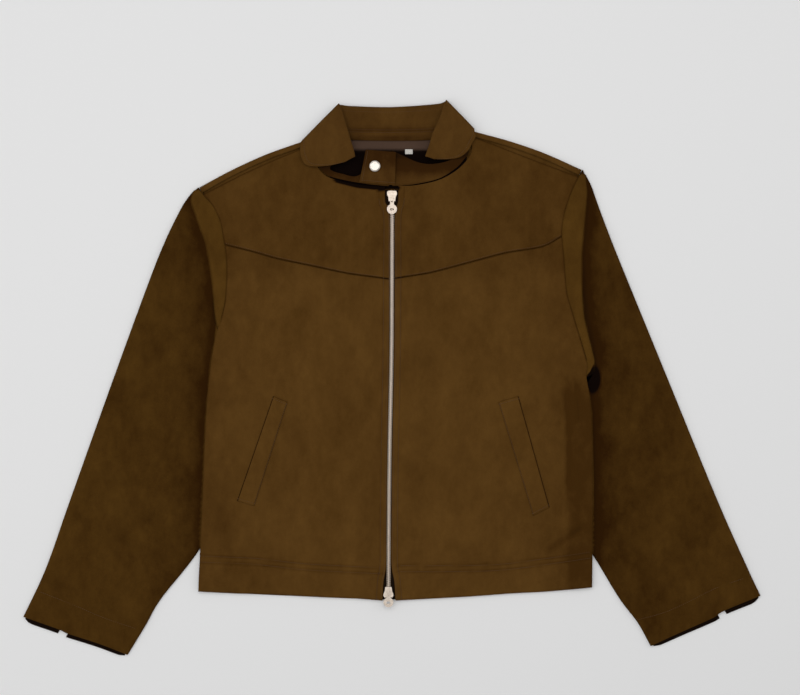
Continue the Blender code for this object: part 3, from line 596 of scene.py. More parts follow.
def yoke_panel(side):
    width, height = YOKE_SIZE
    inner = joined(smooth_line(NECK[side]), smooth_line(FRONT_EDGE[side][:EDGE_YOKE_POINTS]), NECK_SHARE)
    edge = body_edge[side]
    armhole = stretch(edge, share_at(edge, SHOULDER_SEAM_Y[side]), share_at(edge, YOKE_END_Y[side]))
    plan = patch(smooth_line(SHOULDER_SEAM[side]), smooth_line(YOKE_SEAM[side]), armhole, inner)

    def place(u, v):
        x, y = plan(YOKE_INSET * 0.5 + (1 - YOKE_INSET * 0.5) * u, YOKE_INSET + (1 - 2 * YOKE_INSET) * v)
        row = (plan(1, v) - plan(0, v)).length
        column = (plan(u, 1) - plan(u, 0)).length
        top = front_top(x, y) - turned(u * row) - turned(v * column) - turned((1 - v) * column, 0.5, 1.6)
        top -= pressed((1 - v) * column - 2.2, 0.3)
        if v > NECK_SHARE:
            from_zip = (1 - u) * row
            top -= pressed(from_zip - FACING_ROWS[0]) + pressed(from_zip - FACING_ROWS[1])
            top -= turned(from_zip, 0.5, 1.2)
        return x, y, top

    us = graded(width, 3.0, (0.6, 1.4, 2.4), (0.8, 1.8, 2.8, 7.3, 8.5, 9.7))
    vs = sorted(set(graded(height, 3.0, (0.5, 1.2, 2.4), (0.5, 1.2, 2.2, 3.2))) | {NECK_SHARE})
    item = cloth_wall(f"yoke_{side}_suede", us, vs, place, tone=yoke_tone)
    finish_piece(item, f"yoke_{side}", "suede", BODY_SUEDE,
                 flat=(0.265, 0.215), held="laid", rests_on=["back_suede"], area=0.0345)


for side in SIDES:
    yoke_panel(side)

# ---------------------------------------------------------------- back
# One-piece back of the same hide. It lies flat, is raised where the sleeves are tucked under it,
# and wraps forward over both shoulders, so that the shoulder seams show on the front.
SHOULDER = {
    "left": ((-275, 271), (-230, 295), (-179, 318), (-128, 336), (-99, 347)),
    "right": ((271, 296), (219, 319), (170, 336), (115, 351), (94, 357)),
}
BACK_HEM = ((-272, -299), (-150, -305), (0, -310), (150, -303), (281, -293))
BACK_NECK = ((-99, 347), (-84, 338), (-60, 336), (0, 335.5), (54, 336), (80, 342), (94, 357))
BACK_SIZE = (545, 640)
WRAP_RADIUS = 2.5
WRAP_REACH = 2.6          # distance from the fold line in to the middle of the round
WRAP_STEPS = 10
WRAP_TAIL = ((4.6, 0.0), (6.4, -0.1), (7.6, -0.7))    # distance in from the fold, change of height
CORNER_SLANT = 0.57       # sideways run of the wrap's rows at the shoulders' outer ends
SIDE_INSET = 4.0
SIDE_INSET_AT_ARMHOLE = 1.0
BACK_SAG = 0.25


def back_panel():
    """v runs from the hem to the neck and shoulders; rows past 1 are those of the wrap."""
    left_shoulder = smooth_line(SHOULDER["left"])
    right_shoulder = smooth_line(tuple(reversed(SHOULDER["right"])))
    neck = smooth_line(BACK_NECK)

    def top(u):
        if u < 1 / 3:
            return left_shoulder(3 * u)
        if u <= 2 / 3:
            return neck(3 * u - 1)
        return right_shoulder(3 * u - 2)

    def side_line(side, inward):
        def at(t):
            point = body_edge[side](1 - t)
            below_arm = ease((ARMPIT_Y[side] + 34 - point.y) / 20)
            point.x += inward * (SIDE_INSET_AT_ARMHOLE + (SIDE_INSET - SIDE_INSET_AT_ARMHOLE) * below_arm)
            return point
        return at

    plan = patch(smooth_line(BACK_HEM), top, side_line("left", 1), side_line("right", -1))

    def wrap(row, face):
        if row <= WRAP_STEPS:
            angle = math.pi * (row / WRAP_STEPS - 0.5)
            radius = WRAP_RADIUS if face == "outer" else WRAP_RADIUS - WALL
            return WRAP_REACH - radius * math.cos(angle), WRAP_RADIUS + radius * math.sin(angle)
        distance, change = WRAP_TAIL[row - WRAP_STEPS - 1]
        return distance, (2 * WRAP_RADIUS if face == "outer" else 2 * WRAP_RADIUS - WALL) + change

    def surface(face):
        def place(u, v):
            if v <= 1:
                x, y = plan(u, v)
                sag = BACK_SAG * (1 + noise.noise(Vector((x / 60, y / 90, 11)))) * ease(min(v, 1 - v) * 12)
                return x, y, lift(x, y) + (WALL if face == "inner" else sag * ease(lift(x, y)))
            row = round(v) - 2
            x, y = top(u)
            if 0.32 <= u <= 0.68:
                distance = WRAP_REACH - 2.2 * row / (WRAP_STEPS + len(WRAP_TAIL))
                return x, y - distance, WALL if face == "inner" else 0
            distance, z = wrap(row, face)
            slant = CORNER_SLANT * (max(0.0, 1 - 3 * u) - max(0.0, 3 * u - 2))
            return x + slant * (distance + 3), y - distance, z
        return place

    us = graded(BACK_SIZE[0], 6.0)
    vs = graded(BACK_SIZE[1], 7.0)[:-1] + [2 + k for k in range(WRAP_STEPS + len(WRAP_TAIL) + 1)]
    item = cloth_wall("back_suede", us, vs, surface("inner"), under=surface("outer"))
    finish_piece(item, "back", "suede", BODY_SUEDE,
                 flat=(0.56, 0.68), held="laid", area=0.345,
                 rests_on=["sleeve_left_suede", "sleeve_right_suede"])


back_panel()

# ---------------------------------------------------------------- sleeves
# Two-piece sleeves of the same hide, coloured darker than the body, pressed flat with a round fold along both
# sides.
# The head is folded in behind the armhole seam; the under sleeve shows its inner face past the cuff, painted
# near black as shade inside the sleeve, and the cuff has a short vent.
HEAD_FOLD = {
    "left": ((-280, 267), (-284, 252), (-275, 224), (-263, 188), (-257, 157), (-253, 121), (-251, 96),
             (-248, 78), (-240, 65), (-214, 52)),
    "right": ((273.5, 290), (276, 264), (273, 225), (269, 178), (269, 126), (273, 83), (283, 42),
              (287, 22), (281, 8), (259, -1)),
}
HEAD_OUT = {
    "left": ((-281, 267), (-286.5, 252), (-277, 223), (-265, 187), (-259, 156), (-255, 121), (-253, 94),
             (-250, 76), (-242, 62), (-213, 50)),
    "right": ((275, 289), (278, 261), (275, 224), (271, 178), (271, 126), (275, 83), (285, 42),
              (289, 20), (283, 5), (258, -3)),
}
SLEEVE_OUTER = {
    "left": ((-281, 267), (-290, 256), (-300, 240), (-321, 197), (-344, 140), (-396, -2), (-457, -173),
             (-491, -269), (-523, -338)),
    "right": ((275, 289), (283, 273), (293, 245), (311, 197), (334, 140), (392, -2), (462, -173),
              (506, -272), (523, -308)),
}
CUFF = {
    "left": ((-523, -338), (-474, -356), (-459, -363), (-416, -377.5), (-376, -393.5)),
    "right": ((523, -308), (471, -330), (456, -340), (412, -360), (368, -380.5)),
}
CUFF_STITCH = {
    "left": ((-500, -302), (-449, -322), (-409, -339), (-362, -355)),
    "right": ((345, -343), (393, -329), (457, -298), (500, -283)),
}
VENT = {"left": (0.335, 0.43), "right": (0.31, 0.385)}
CUFF_UNDER_DROP = (3.4, 6.6)     # how far the under sleeve shows past the cuff, at the inner and outer end
CUFF_END_DROP = 0.25             # share of that drop at the cuff's very ends
CUFF_END_REACH = 0.06
VENT_DEPTH = 14.0
UNDER_HOOK = {"left": (-256, 70), "right": (291, 10)}
UNDER_INSET = 4.0
SLEEVE_WIDTH, SLEEVE_LENGTH = 200, 640
SLEEVE_GAP = 1.2
SLEEVE_LEVEL = 2 * WALL + LAYER
SLEEVE_CLEAR, SLEEVE_CLEAR_FADE = 16, 26    # beside the body the sleeve lies flat this far
SLEEVE_EDGE_LOW = ROLL_LOW - 0.6
HEAD_TONE = 0.18                            # how much lighter the sleeve head is coloured beside the armhole
HEAD_CLOSE, HEAD_CLOSE_FADE = 0.76, 0.2     # share of the armhole where the head starts to close below
HEAD_CLOSE_LIFT = 1.5
# Rows of the sleeve head: share of the way from seam to fold, share of the drop to the lower level,
# and how far the row is tucked down to pass below the body's edge
HEAD_ROWS = (
    (-0.07, 0.0, 2.6), (0.02, 0.0, 1.1), (0.06, 0.0, 0.4), (0.12, 0.0, 0.1), (0.25, 0.0, 0), (0.4, 0.0, 0),
    (0.55, 0.01, 0), (0.7, 0.03, 0), (0.82, 0.08, 0), (0.91, 0.18, 0), (0.97, 0.36, 0), (1.0, 0.62, 0),
    (0.99, 0.86, 0),
)
ARMPIT_PAINTED_SHADOW = (285, -1, 11, 19)           # painted shadow in the hollow at the right armpit: centre and half sizes
UNDER_SEAM_SIDE = 2.2
SLEEVE_FOLDS = (
    (-330, 120, -300, 30, 26, 1.6),
    (-300, 60, -330, -60, 18, -0.9),
    (-400, -120, -330, -180, 22, 1.5),
    (-420, -60, -350, -120, 16, -0.8),
    (-450, -200, -400, -300, 30, 1.3),
    (320, 120, 300, 20, 26, 1.6),
    (310, 0, 345, -110, 18, -0.9),
    (420, -110, 340, -170, 22, 1.5),
    (400, -60, 350, -90, 16, -0.8),
    (450, -170, 410, -290, 30, 1.3),
)
SLEEVE_CREASES = (
    (-296, 210, -282, 120, 14, 1.0),
    (-318, 176, -300, 96, 12, -0.7),
    (-340, 60, -282, 18, 16, 1.0),
    (-352, 22, -290, -30, 12, -0.8),
    (-372, -40, -262, -84, 16, 0.9),
    (-384, -92, -268, -128, 12, -0.7),
    (-430, -150, -300, -214, 18, 1.0),
    (-446, -204, -336, -262, 14, -0.8),
    (-480, -262, -392, -330, 18, 0.8),
    (304, 206, 292, 110, 14, 1.0),
    (322, 160, 306, 70, 12, -0.7),
    (352, 50, 300, -8, 16, 1.0),
    (366, 6, 300, -60, 12, -0.8),
    (384, -60, 276, -110, 16, 0.9),
    (404, -120, 282, -168, 12, -0.7),
    (440, -150, 320, -226, 18, 1.0),
    (470, -220, 360, -292, 14, -0.8),
    (492, -262, 420, -318, 18, 0.8),
)
COVER = {side: [*HEAD_FOLD[side][:-2], *BODY_EDGE[side][9:]] for side in SIDES}
sleeve_outer = {side: smooth_line(points) for side, points in SLEEVE_OUTER.items()}


def beyond_cover(x, y):
    """Distance outside the sleeve-head fold and the body's side edge; zero under them."""
    line = COVER[side_of(x)]
    if inside(x, y, [*line, (0, line[-1][1]), (0, line[0][1])]):
        return 0.0
    return distance_to_line(x, y, line)


def sleeve_top(x, y):
    """Height of the sleeve's upper face."""
    free = ease((beyond_cover(x, y) - SLEEVE_CLEAR) / SLEEVE_CLEAR_FADE)
    loose = min(max(SLEEVE_GAP + folds(x, y, SLEEVE_FOLDS), BODY_GAP_MIN), BODY_GAP_MAX)
    fine = 1.25 * folds(x, y, SLEEVE_CREASES) + ripple(x, y, 19.0, 50.0, 0.7)
    return SLEEVE_LEVEL + (loose - LAYER + fine) * free


def sleeve_tone(x, y):
    """Painted shade on the sleeves: darkest beside the head fold and fading towards the outer fold, with a
    painted shadow in the hollow at the right armpit; the head itself takes HEAD_TONE.
    """
    away = beyond_cover(x, y)
    if away == 0:
        return HEAD_TONE
    on_right = ease((x + 50) / 100)
    by_armpit = ease((180 - y) / 50) * ease((y - 20) / 40)
    crease = 0.26 + 0.22 * on_right + 0.14 * by_armpit
    tone = -0.01 - 0.07 * on_right
    tone -= crease * math.exp(-(away / 13.0) ** 1.5) + 0.26 * math.exp(-away / 55.0)
    center_x, center_y, half_x, half_y = ARMPIT_PAINTED_SHADOW
    pocket = math.hypot((x - center_x) / half_x, (y - center_y) / half_y)
    return HEAD_TONE + (tone - HEAD_TONE) * ease(away / 2.5) - 1.9 * ease((1.25 - pocket) / 0.7) * (x > 0)


def sleeve_top_panel(side):
    """Upper half of a sleeve: u runs from the outer to the inner fold, v from the armhole to the cuff."""
    edge = body_edge[side]
    armhole = stretch(edge, 0, share_at(edge, ARMPIT_Y[side]))
    fold = smooth_line(HEAD_FOLD[side])
    plan = patch(smooth_line(HEAD_OUT[side]), smooth_line(CUFF[side]), sleeve_outer[side],
                 smooth_line(SLEEVE_INNER[side]))

    def head(u, row):
        across, drop, tuck = HEAD_ROWS[row]
        seam = armhole(u * 0.95 / 0.85 if u < 0.85 else 0.95 + (u - 0.85) / 3)
        x, y = seam * (1 - across) + fold(u) * across
        closing = ease((u - HEAD_CLOSE) / HEAD_CLOSE_FADE)
        upper = front_top(*seam) * (1 - closing) + (SLEEVE_LEVEL + HEAD_CLOSE_LIFT) * closing
        return x, y, upper + (SLEEVE_LEVEL - upper) * drop - tuck * (1 - 0.7 * closing)

    def place(u, v):
        if v < 0:
            x, y, top = head(u, round(-v) - 1)
            return x, y, rolled(top, SLEEVE_EDGE_LOW, u * SLEEVE_WIDTH)
        x, y = plan(u, v)
        row = (plan(1, v) - plan(0, v)).length
        top = sleeve_top(x, y) - pressed(distance_to_line(x, y, CUFF_STITCH[side]), 0.4, 2.0)
        top = rolled(top, 2 * WALL + SEAM, (1 - v) * SLEEVE_LENGTH, 5.0)
        top = rolled(top, SLEEVE_EDGE_LOW, u * row)
        return x, y, rolled(top, SLEEVE_EDGE_LOW if v > 0 else top, (1 - u) * row)

    def under(u, v):
        x, y, z = place(u, v)
        return x, y, max(z - WALL, SEAM)

    edge_steps = (0.3, 0.9, 1.8, 3.0, 4.4)
    us = graded(SLEEVE_WIDTH, 3.0, edge_steps, edge_steps)
    vs = [-1 - k for k in range(len(HEAD_ROWS))] + graded(SLEEVE_LENGTH, 3.6, (), (0.4, 1.2, 2.6, 4.2))
    item = cloth_wall(f"sleeve_{side}_suede", us, vs, place, under=under, tone=sleeve_tone)
    finish_piece(item, f"sleeve_{side}_top", "sleeve_suede", SLEEVE_SUEDE,
                 flat=(0.24, 0.70), held="laid", rests_on=[f"sleeve_{side}_under_suede"], area=0.118)


def sleeve_under_panel(side):
    """Lower half of a sleeve: suede below, inner face above painted near black as shade inside the sleeve,
    longer at the cuff and cut by a vent.
    """
    sign = 1 if side == "left" else -1

    def moved(line, distance):
        return lambda t: beside(line, t, distance)

    armhole = [p for p in BODY_EDGE[side] if p[1] > ARMPIT_Y[side] + 24]
    start = moved(smooth_line([*armhole, UNDER_HOOK[side]]), sign * UNDER_SEAM_SIDE)
    outer = moved(sleeve_outer[side], -sign * UNDER_INSET)
    inner = moved(smooth_line(SLEEVE_INNER[side]), sign * UNDER_INSET)
    cuff_line = smooth_line(CUFF[side])
    down = (inner(1) - inner(0.9)).normalized()
    vent = VENT[side]
    edge_share = UNDER_INSET / SLEEVE_WIDTH

    def spaced(count, first, last):
        return [first + (last - first) * k / count for k in range(count + 1)]

    def cuff(share, drop):
        point = cuff_line(edge_share + (1 - 2 * edge_share) * share)
        return Vector((point.x, point.y)) + down * drop

    def past(share):
        drop = CUFF_UNDER_DROP[1] + (CUFF_UNDER_DROP[0] - CUFF_UNDER_DROP[1]) * share
        return drop * (CUFF_END_DROP + (1 - CUFF_END_DROP) * ease(min(share, 1 - share) / CUFF_END_REACH))

    hem = [cuff(t, past(t)) for t in spaced(12, 1, vent[1])]
    hem += [cuff(vent[1], -VENT_DEPTH), cuff(vent[0], -VENT_DEPTH)]
    hem += [cuff(t, past(t)) for t in spaced(8, vent[0], 0)]
    outline = [start(t) for t in spaced(30, 0.06, 1)] + [inner(t) for t in spaced(70, 0.03, 1)]
    outline += hem + [outer(t) for t in spaced(70, 1, 0.05)]
    solid = bmesh.new()
    ring = [solid.verts.new((p.x * MM, p.y * MM, 0)) for p in outline]
    face = solid.faces.new(ring)
    face.normal_update()
    made = bmesh.ops.extrude_face_region(solid, geom=[face], use_keep_orig=True)["geom"]
    top_verts = [v for v in made if isinstance(v, bmesh.types.BMVert)]
    bmesh.ops.translate(solid, vec=(0, 0, WALL * MM), verts=top_verts)
    rim = [e for e in solid.edges if e.is_manifold and e.calc_face_angle(0) > 1.2
           and abs(e.verts[0].co.z - e.verts[1].co.z) < 1e-6]
    bmesh.ops.bevel(solid, geom=rim, offset=0.5 * MM, segments=2, profile=0.5, affect="EDGES")
    bmesh.ops.triangulate(solid, faces=[f for f in solid.faces if len(f.verts) > 4])
    bmesh.ops.recalc_face_normals(solid, faces=solid.faces)
    solid.normal_update()
    for face in solid.faces:
        face.material_index = 1 if face.normal.z > 0.9 else 0
    mesh = bpy.data.meshes.new(f"sleeve_{side}_under_suede")
    solid.to_mesh(mesh)
    solid.free()
    item = add_item(f"sleeve_{side}_under_suede", mesh)
    finish_piece(item, f"sleeve_{side}_under", "sleeve_suede", SLEEVE_SUEDE,
                 flat=(0.24, 0.70), held="laid", rests_on=["the surface below"], area=0.103)
    mesh.materials.append(SHADED_INNER_FACE)


SLEEVE_SUEDE = suede_material("sleeve_suede", (0.105, 0.0500, 0.0085), (0.026, 0.0090, 0.0008), 0.9, 0.05)
# Inner face of the under sleeves: near black, painted shade inside the sleeve.
SHADED_INNER_FACE = suede_material("sleeve_inner_face_shade", (0.010, 0.005, 0.003), (0.005, 0.0025, 0.0015), 0.4, 0.0)
for side in SIDES:
    sleeve_under_panel(side)
    sleeve_top_panel(side)

# ---------------------------------------------------------------- collar
# Stand of doubled suede sewn into the neck, its fall turned down at both sides, and a throat tab
# that crosses in front and closes with one snap. The back of the fall lies folded below the stand.
# Columns: x, y, z on the neck seam, then x, y, z on the top edge.
STAND = (
    (-4.3, 272.5, 6.9, -2.8, 310, 7.4),
    (-25.6, 274.5, 6.9, -27, 306, 7.6),
    (-46.9, 277.3, 6.8, -48.3, 287, 8.4),
    (-71, 281.9, 6.7, -69, 289, 9.6),
    (-92.3, 288.4, 6.7, -88, 296, 11.5),
    (-103.7, 302.5, 6.8, -80, 311, 13.2),
    (-107.2, 320.2, 6.8, -63, 330, 14.4),
    (-102.9, 334.4, 7, -69, 350, 12),
    (-95.1, 342.2, 7, -75.5, 376, 8),
    (-82.4, 341.8, 5, -76, 387.4, 4.6),
    (-65.3, 338.4, 3.6, -57.5, 386.2, 3.6),
    (0, 337, 3.6, 0, 384.8, 3.6),
    (62.5, 338.6, 3.6, 62.5, 389, 3.6),
    (79.5, 345.2, 5, 77.6, 392.6, 4.6),
    (90.9, 351, 7, 77, 380, 8),
    (107.2, 336, 7, 68, 355.7, 12),
    (108.6, 320.2, 6.8, 60, 333, 14.4),
    (102.2, 310.3, 6.8, 76, 315, 13.6),
    (90.9, 298.2, 6.8, 84, 309.5, 12),
    (66.7, 283.3, 6.8, 60, 303.5, 11.5),
    (34.1, 275.6, 6.9, 36.9, 306, 10.5),
    (14.2, 273.5, 6.9, 12.8, 317, 9),
    (0.7, 272.8, 6.9, -0.7, 323, 8.6),
)
# Columns: x, y, z on the roll line, then x, y, z on the free edge.
FALL = {
    "left": ((-54, 312.5, 17.5, -66, 306, 16),
             (-55, 318, 18.9, -87, 301.5, 13.6),
             (-57.5, 327, 19.5, -108, 300, 10.6),
             (-61.1, 338.7, 19.5, -122, 302.5, 9),
             (-64.6, 351.4, 18.5, -128.5, 313, 9),
             (-68.9, 365.6, 15.5, -130, 325, 9),
             (-73.1, 379.8, 11, -129.5, 333, 9),
             (-76.7, 388.4, 8, -127.4, 337.2, 9)),
    "right": ((49.3, 313.2, 17.5, 59.6, 309.8, 16.5),
              (51.5, 320, 18.9, 79.5, 310, 15),
              (55.4, 331, 19.5, 96.6, 313.5, 11.4),
              (59.6, 345.8, 19.5, 108, 323, 9),
              (65.3, 357.8, 18.5, 113.6, 333, 9),
              (70.3, 370, 15.5, 119, 343, 9),
              (74.5, 384, 11, 117.5, 348, 9),
              (78.5, 393.4, 8, 116.5, 354, 9)),
}
FALL_CROWN = 1.2
# Rows of the roll: distance inwards past the roll line, drop below it
FALL_ROLL = ((1.6, 4.6), (2.4, 3.2), (2.5, 1.9), (1.9, 0.8), (1.0, 0.2))
TAB_CORNERS = ((-46.1, 277.6, 11.2), (4.3, 273.6, 10.4), (-36.9, 323.8, 12.0), (5.7, 320.2, 12.2))
TAB_SIZE = (48, 46)
TAB_CROWN = 0.5
COLLAR_STEP = 0.01                # share of a row or column over which the stand's slope is taken
STAND_HEIGHT = 47
STAND_BACK = (9, 13)              # columns of the stand between which its stitch rows run at the back
STAND_ROWS = (40, 15, 11.5)       # height of those rows above the neck seam
FALL_DEPTH = 55
FALL_ROW = 5                      # distance of the fall's stitch row from its free edge


def between_edges(table):
    """Point between two edges given row by row: u counts rows, v goes from the first edge to the second."""
    def edge(columns):
        points = [Vector(row[columns:columns + 3]) for row in table]
        total = [0.0]
        for a, b in zip(points, points[1:]):
            total.append(total[-1] + (b - a).length)
        return smooth_line(points), [t / total[-1] for t in total]

    low, low_shares = edge(0)
    high, high_shares = edge(3)

    def at(u, v):
        k = min(int(u), len(table) - 2)
        t = u - k
        a = low(low_shares[k] * (1 - t) + low_shares[k + 1] * t)
        b = high(high_shares[k] * (1 - t) + high_shares[k + 1] * t)
        return a * (1 - v) + b * v
    return at


def stand_tone(x, y):
    """Painted shade on the stand: light at the back of the neck, painted shadow where the tab and fall cover
    it and inside the neck, painted shade in the neck seam and along the lower stitch rows.
    """
    if y < 330:
        below_tab = ease((y - 280) / 24)
        inside_neck = ease((y - 308) / 8)
        left_of_tab = ease((-40 - x) / 12)
        return -0.10 - 0.62 * below_tab - 0.35 * inside_neck - 0.35 * left_of_tab
    in_neck_seam = ease((5 - abs(y - 340)) / 5)
    by_lower_rows = ease((7 - abs(y - 352)) / 7)
    return 0.02 - 0.5 * in_neck_seam - 0.30 * by_lower_rows


def collar_stand():
    at = between_edges(STAND)

    def place(u, v):
        point = at(u, v)
        if STAND_BACK[0] <= u <= STAND_BACK[1]:
            point.z -= sum(pressed(v * STAND_HEIGHT - row) for row in STAND_ROWS)
        return point

    def turned_under(u, v):
        along = at(u + COLLAR_STEP, v) - at(u - COLLAR_STEP, v)
        across = at(u, v + COLLAR_STEP) - at(u, v - COLLAR_STEP)
        return at(u, v) + along.cross(across).normalized() * WALL

    us = [k / 8 for k in range((len(STAND) - 1) * 8 + 1)]
    vs = [0, 0.1, 0.2, 0.225, 0.245, 0.27, 0.3, 0.32, 0.35, 0.4]
    vs += [0.5, 0.6, 0.7, 0.8, 0.825, 0.85, 0.875, 0.9, 1]
    item = cloth_wall("collar_stand_suede", us, vs, place, under=turned_under, tone=stand_tone)
    finish_piece(item, "collar_stand", "suede", COLLAR_SUEDE,
                 flat=(0.62, 0.05), held="folded", rests_on=["front_left_suede"], area=0.0215)


def collar_fall(side):
    at = between_edges(FALL[side])

    def place(u, v):
        if v < 0:
            inward, drop = FALL_ROLL[round(-v) - 1]
            roll = at(u, 0)
            away = at(u, 1) - roll
            away.z = 0
            point = roll - away.normalized() * inward
            point.z = max(roll.z - drop, 6.2)
            return point
        point = at(u, v)
        point.z += FALL_CROWN * 4 * v * (1 - v) + 0.5 * math.sin(2.2 * u) * v * (1 - v)
        point.z -= pressed((1 - v) * FALL_DEPTH - FALL_ROW, 0.35)
        return point

    def under(u, v):
        point = Vector(place(u, v))
        if v < 0:
            row = round(-v) - 1
            away = at(u, 1) - at(u, 0)
            away.z = 0
            return point + away.normalized() * (WALL - 0.1 * row) - Vector((0, 0, 0.32 * row))
        return point - Vector((0, 0, WALL))

    us = [k / 8 for k in range((len(FALL[side]) - 1) * 8 + 1)]
    vs = [-1 - k for k in range(len(FALL_ROLL))]
    vs += [0, 0.04, 0.1, 0.18, 0.27, 0.36, 0.46, 0.56, 0.66, 0.76, 0.84, 0.88, 0.91, 0.94, 0.975, 1]
    item = cloth_wall(f"collar_fall_{side}_suede", us, vs, place, under=under, tone=lambda x, y: 0.04)
    finish_piece(item, f"collar_leaf_{side}", "suede", COLLAR_SUEDE,
                 flat=(0.095, 0.085), held="folded", rests_on=["collar_stand_suede"], area=0.0055)


def collar_back_fold():
    top = smooth_line(((-70, 382), (0, 381), (72, 386)))
    neck = smooth_line(((-80, 342), (-60, 338), (0, 337), (56, 338), (78, 345)))

    def end_line(u):
        return lambda v: neck(u) * (1 - v) + top(u) * v

    plan = patch(neck, top, end_line(0), end_line(1))

    def place(u, v):
        return *plan(u, v), WALL

    item = cloth_wall("collar_back_fold_suede", graded(150, 5), graded(45, 4), place)
    finish_piece(item, "collar_under", "suede", COLLAR_SUEDE,
                 flat=(0.16, 0.05), held="folded", rests_on=["the surface below"], area=0.0068)


def on_tab(u, v):
    """Point on the tab's upper face, before its edges are turned in."""
    point = on_quad([Vector(corner) for corner in TAB_CORNERS], u, v)
    point.z += TAB_CROWN * math.sin(math.pi * u)
    return point


def throat_tab():
    width, height = TAB_SIZE

    def place(u, v):
        point = on_tab(u, v)
        rim = min(u * width, (1 - v) * height, v * height)
        point.z -= turned(rim, 0.5, 1.4) + pressed(rim - 3.2)
        return point

    def tone(x, y):
        return -0.12 - 0.40 * ease((y - 288) / 24)

    us, vs = graded(width, 1.5, (0.5,)), graded(height, 1.5, (0.5,), (0.5,))
    item = cloth_wall("throat_tab_suede", us, vs, place, tone=tone)
    finish_piece(item, "throat_tab", "suede", COLLAR_SUEDE,
                 flat=(0.052, 0.05), held="laid", rests_on=["collar_stand_suede"])


COLLAR_SUEDE = suede_material("collar_suede", (0.121, 0.0575, 0.0125), (0.034, 0.0125, 0.0020), 0.8)
collar_stand()
for side in SIDES:
    collar_fall(side)
collar_back_fold()
throat_tab()

# ---------------------------------------------------------------- neck lining
# Plain woven lining on the inside of the back, in sight through the neck and painted near black towards the
# front as the neck's shadow, with one small blank label.
LINING_WALL = 1.0
LINING_TOP = WALL + LAYER + LINING_WALL


def woven_material(name, light, dark, threads, roughness=0.7):
    """Plain weave: two crossed sets of threads over the piece's own coordinates."""
    material, tree, shader = new_material(name)
    coords = add_node(tree, "ShaderNodeTexCoord")
    bands = []
    for direction in ("X", "Y"):
        wave = add_node(tree, "ShaderNodeTexWave", wave_type="BANDS", bands_direction=direction,
                        Scale=threads, Distortion=0.6, Detail=1.0)
        tree.links.new(coords.outputs["Object"], wave.inputs["Vector"])
        bands.append(wave)
    weave = add_node(tree, "ShaderNodeMath", operation="MULTIPLY")
    tree.links.new(bands[0].outputs["Fac"], weave.inputs[0])
    tree.links.new(bands[1].outputs["Fac"], weave.inputs[1])
    tone = add_node(tree, "ShaderNodeAttribute", attribute_name=TONE_ATTRIBUTE)
    shade = multiply_add(tree, weave.outputs[0], 0.4, tone.outputs["Fac"], clamp=True)
    tree.links.new(mix_colours(tree, shade, (*dark, 1), (*light, 1)), shader.inputs["Base Color"])
    relief = add_node(tree, "ShaderNodeBump", Strength=0.4, Distance=0.0003)
    tree.links.new(weave.outputs[0], relief.inputs["Height"])
    tree.links.new(relief.outputs["Normal"], shader.inputs["Normal"])
    shader.inputs["Roughness"].default_value = roughness
    shader.inputs["Specular IOR Level"].default_value = 0.05
    return material


def neck_lining():
    top = smooth_line(((-78, 339.5), (0, 340), (76, 341)))
    bottom = smooth_line(((-80, 276), (0, 269), (80, 276)))
    left = smooth_line(((-78, 339.5), (-104, 310), (-80, 276)))
    right = smooth_line(((76, 341), (106, 312), (80, 276)))
    plan = patch(top, bottom, left, right)

    def place(u, v):
        x, y = plan(u, v)
        return x, y, LINING_TOP + 0.35 * noise.noise(Vector((x / 30, y / 12, 5)))

    # Painted shadow inside the neck: the tone takes the lining to its near-black colour below y 320.
    item = cloth_wall("neck_lining_cloth", graded(200, 4), graded(60, 3), place, LINING_WALL,
                      tone=lambda x, y: 0.42 - 0.8 * ease((327 - y) / 7))
    weave = woven_material("lining_weave", (0.150, 0.090, 0.062), (0.0040, 0.0016, 0.0010), 260.0, 1.0)
    finish_piece(item, "neck_lining", "lining", weave,
                 flat=(0.22, 0.07), held="laid", rests_on=["back_suede"], area=0.0115)


def neck_label():
    center, half_width, half_height, wall = (24, 321.5), 5.4, 3.4, 1.0

    def place(u, v):
        x, y = center[0] + (2 * u - 1) * half_width, center[1] + (2 * v - 1) * half_height
        return x, y, LINING_TOP + SEAM + wall + 0.5 * math.sin(math.pi * u)

    item = cloth_wall("neck_label_cloth", graded(13, 0.8), graded(9, 0.8), place, wall, tone=lambda x, y: 0.5)
    weave = woven_material("label_weave", (0.74, 0.71, 0.66), (0.5, 0.47, 0.42), 900.0)
    finish_piece(item, "neck_label", "label", weave,
                 flat=(0.013, 0.010), held="laid", rests_on=["neck_lining_cloth"], area=0.00008)


neck_lining()
neck_label()

# ---------------------------------------------------------------- pockets
# Slanted welts of doubled suede over the pocket mouths, stitched down at both ends and along the inner side;
# the mouth is a painted shadow line along the outer side, and painted shade runs along the welts' other rims.
WELT = {
    "left": ((-148, -33), (-168, -25), (-219, -173), (-195, -180)),
    "right": ((151, -33), (179, -25), (223, -182), (200, -194)),
}
WELT_WALL = 1.4
WELT_LIFT = 0.7
WELT_SIZE = (24, 156)
MOUTH_SHADE = (1.5, 1.5, 1.3)
WELT_RIM_SHADE = (0.45, 1.3, 1.1)


def welt_top(x, y):
    return front_top(x, y) + WELT_LIFT + WELT_WALL


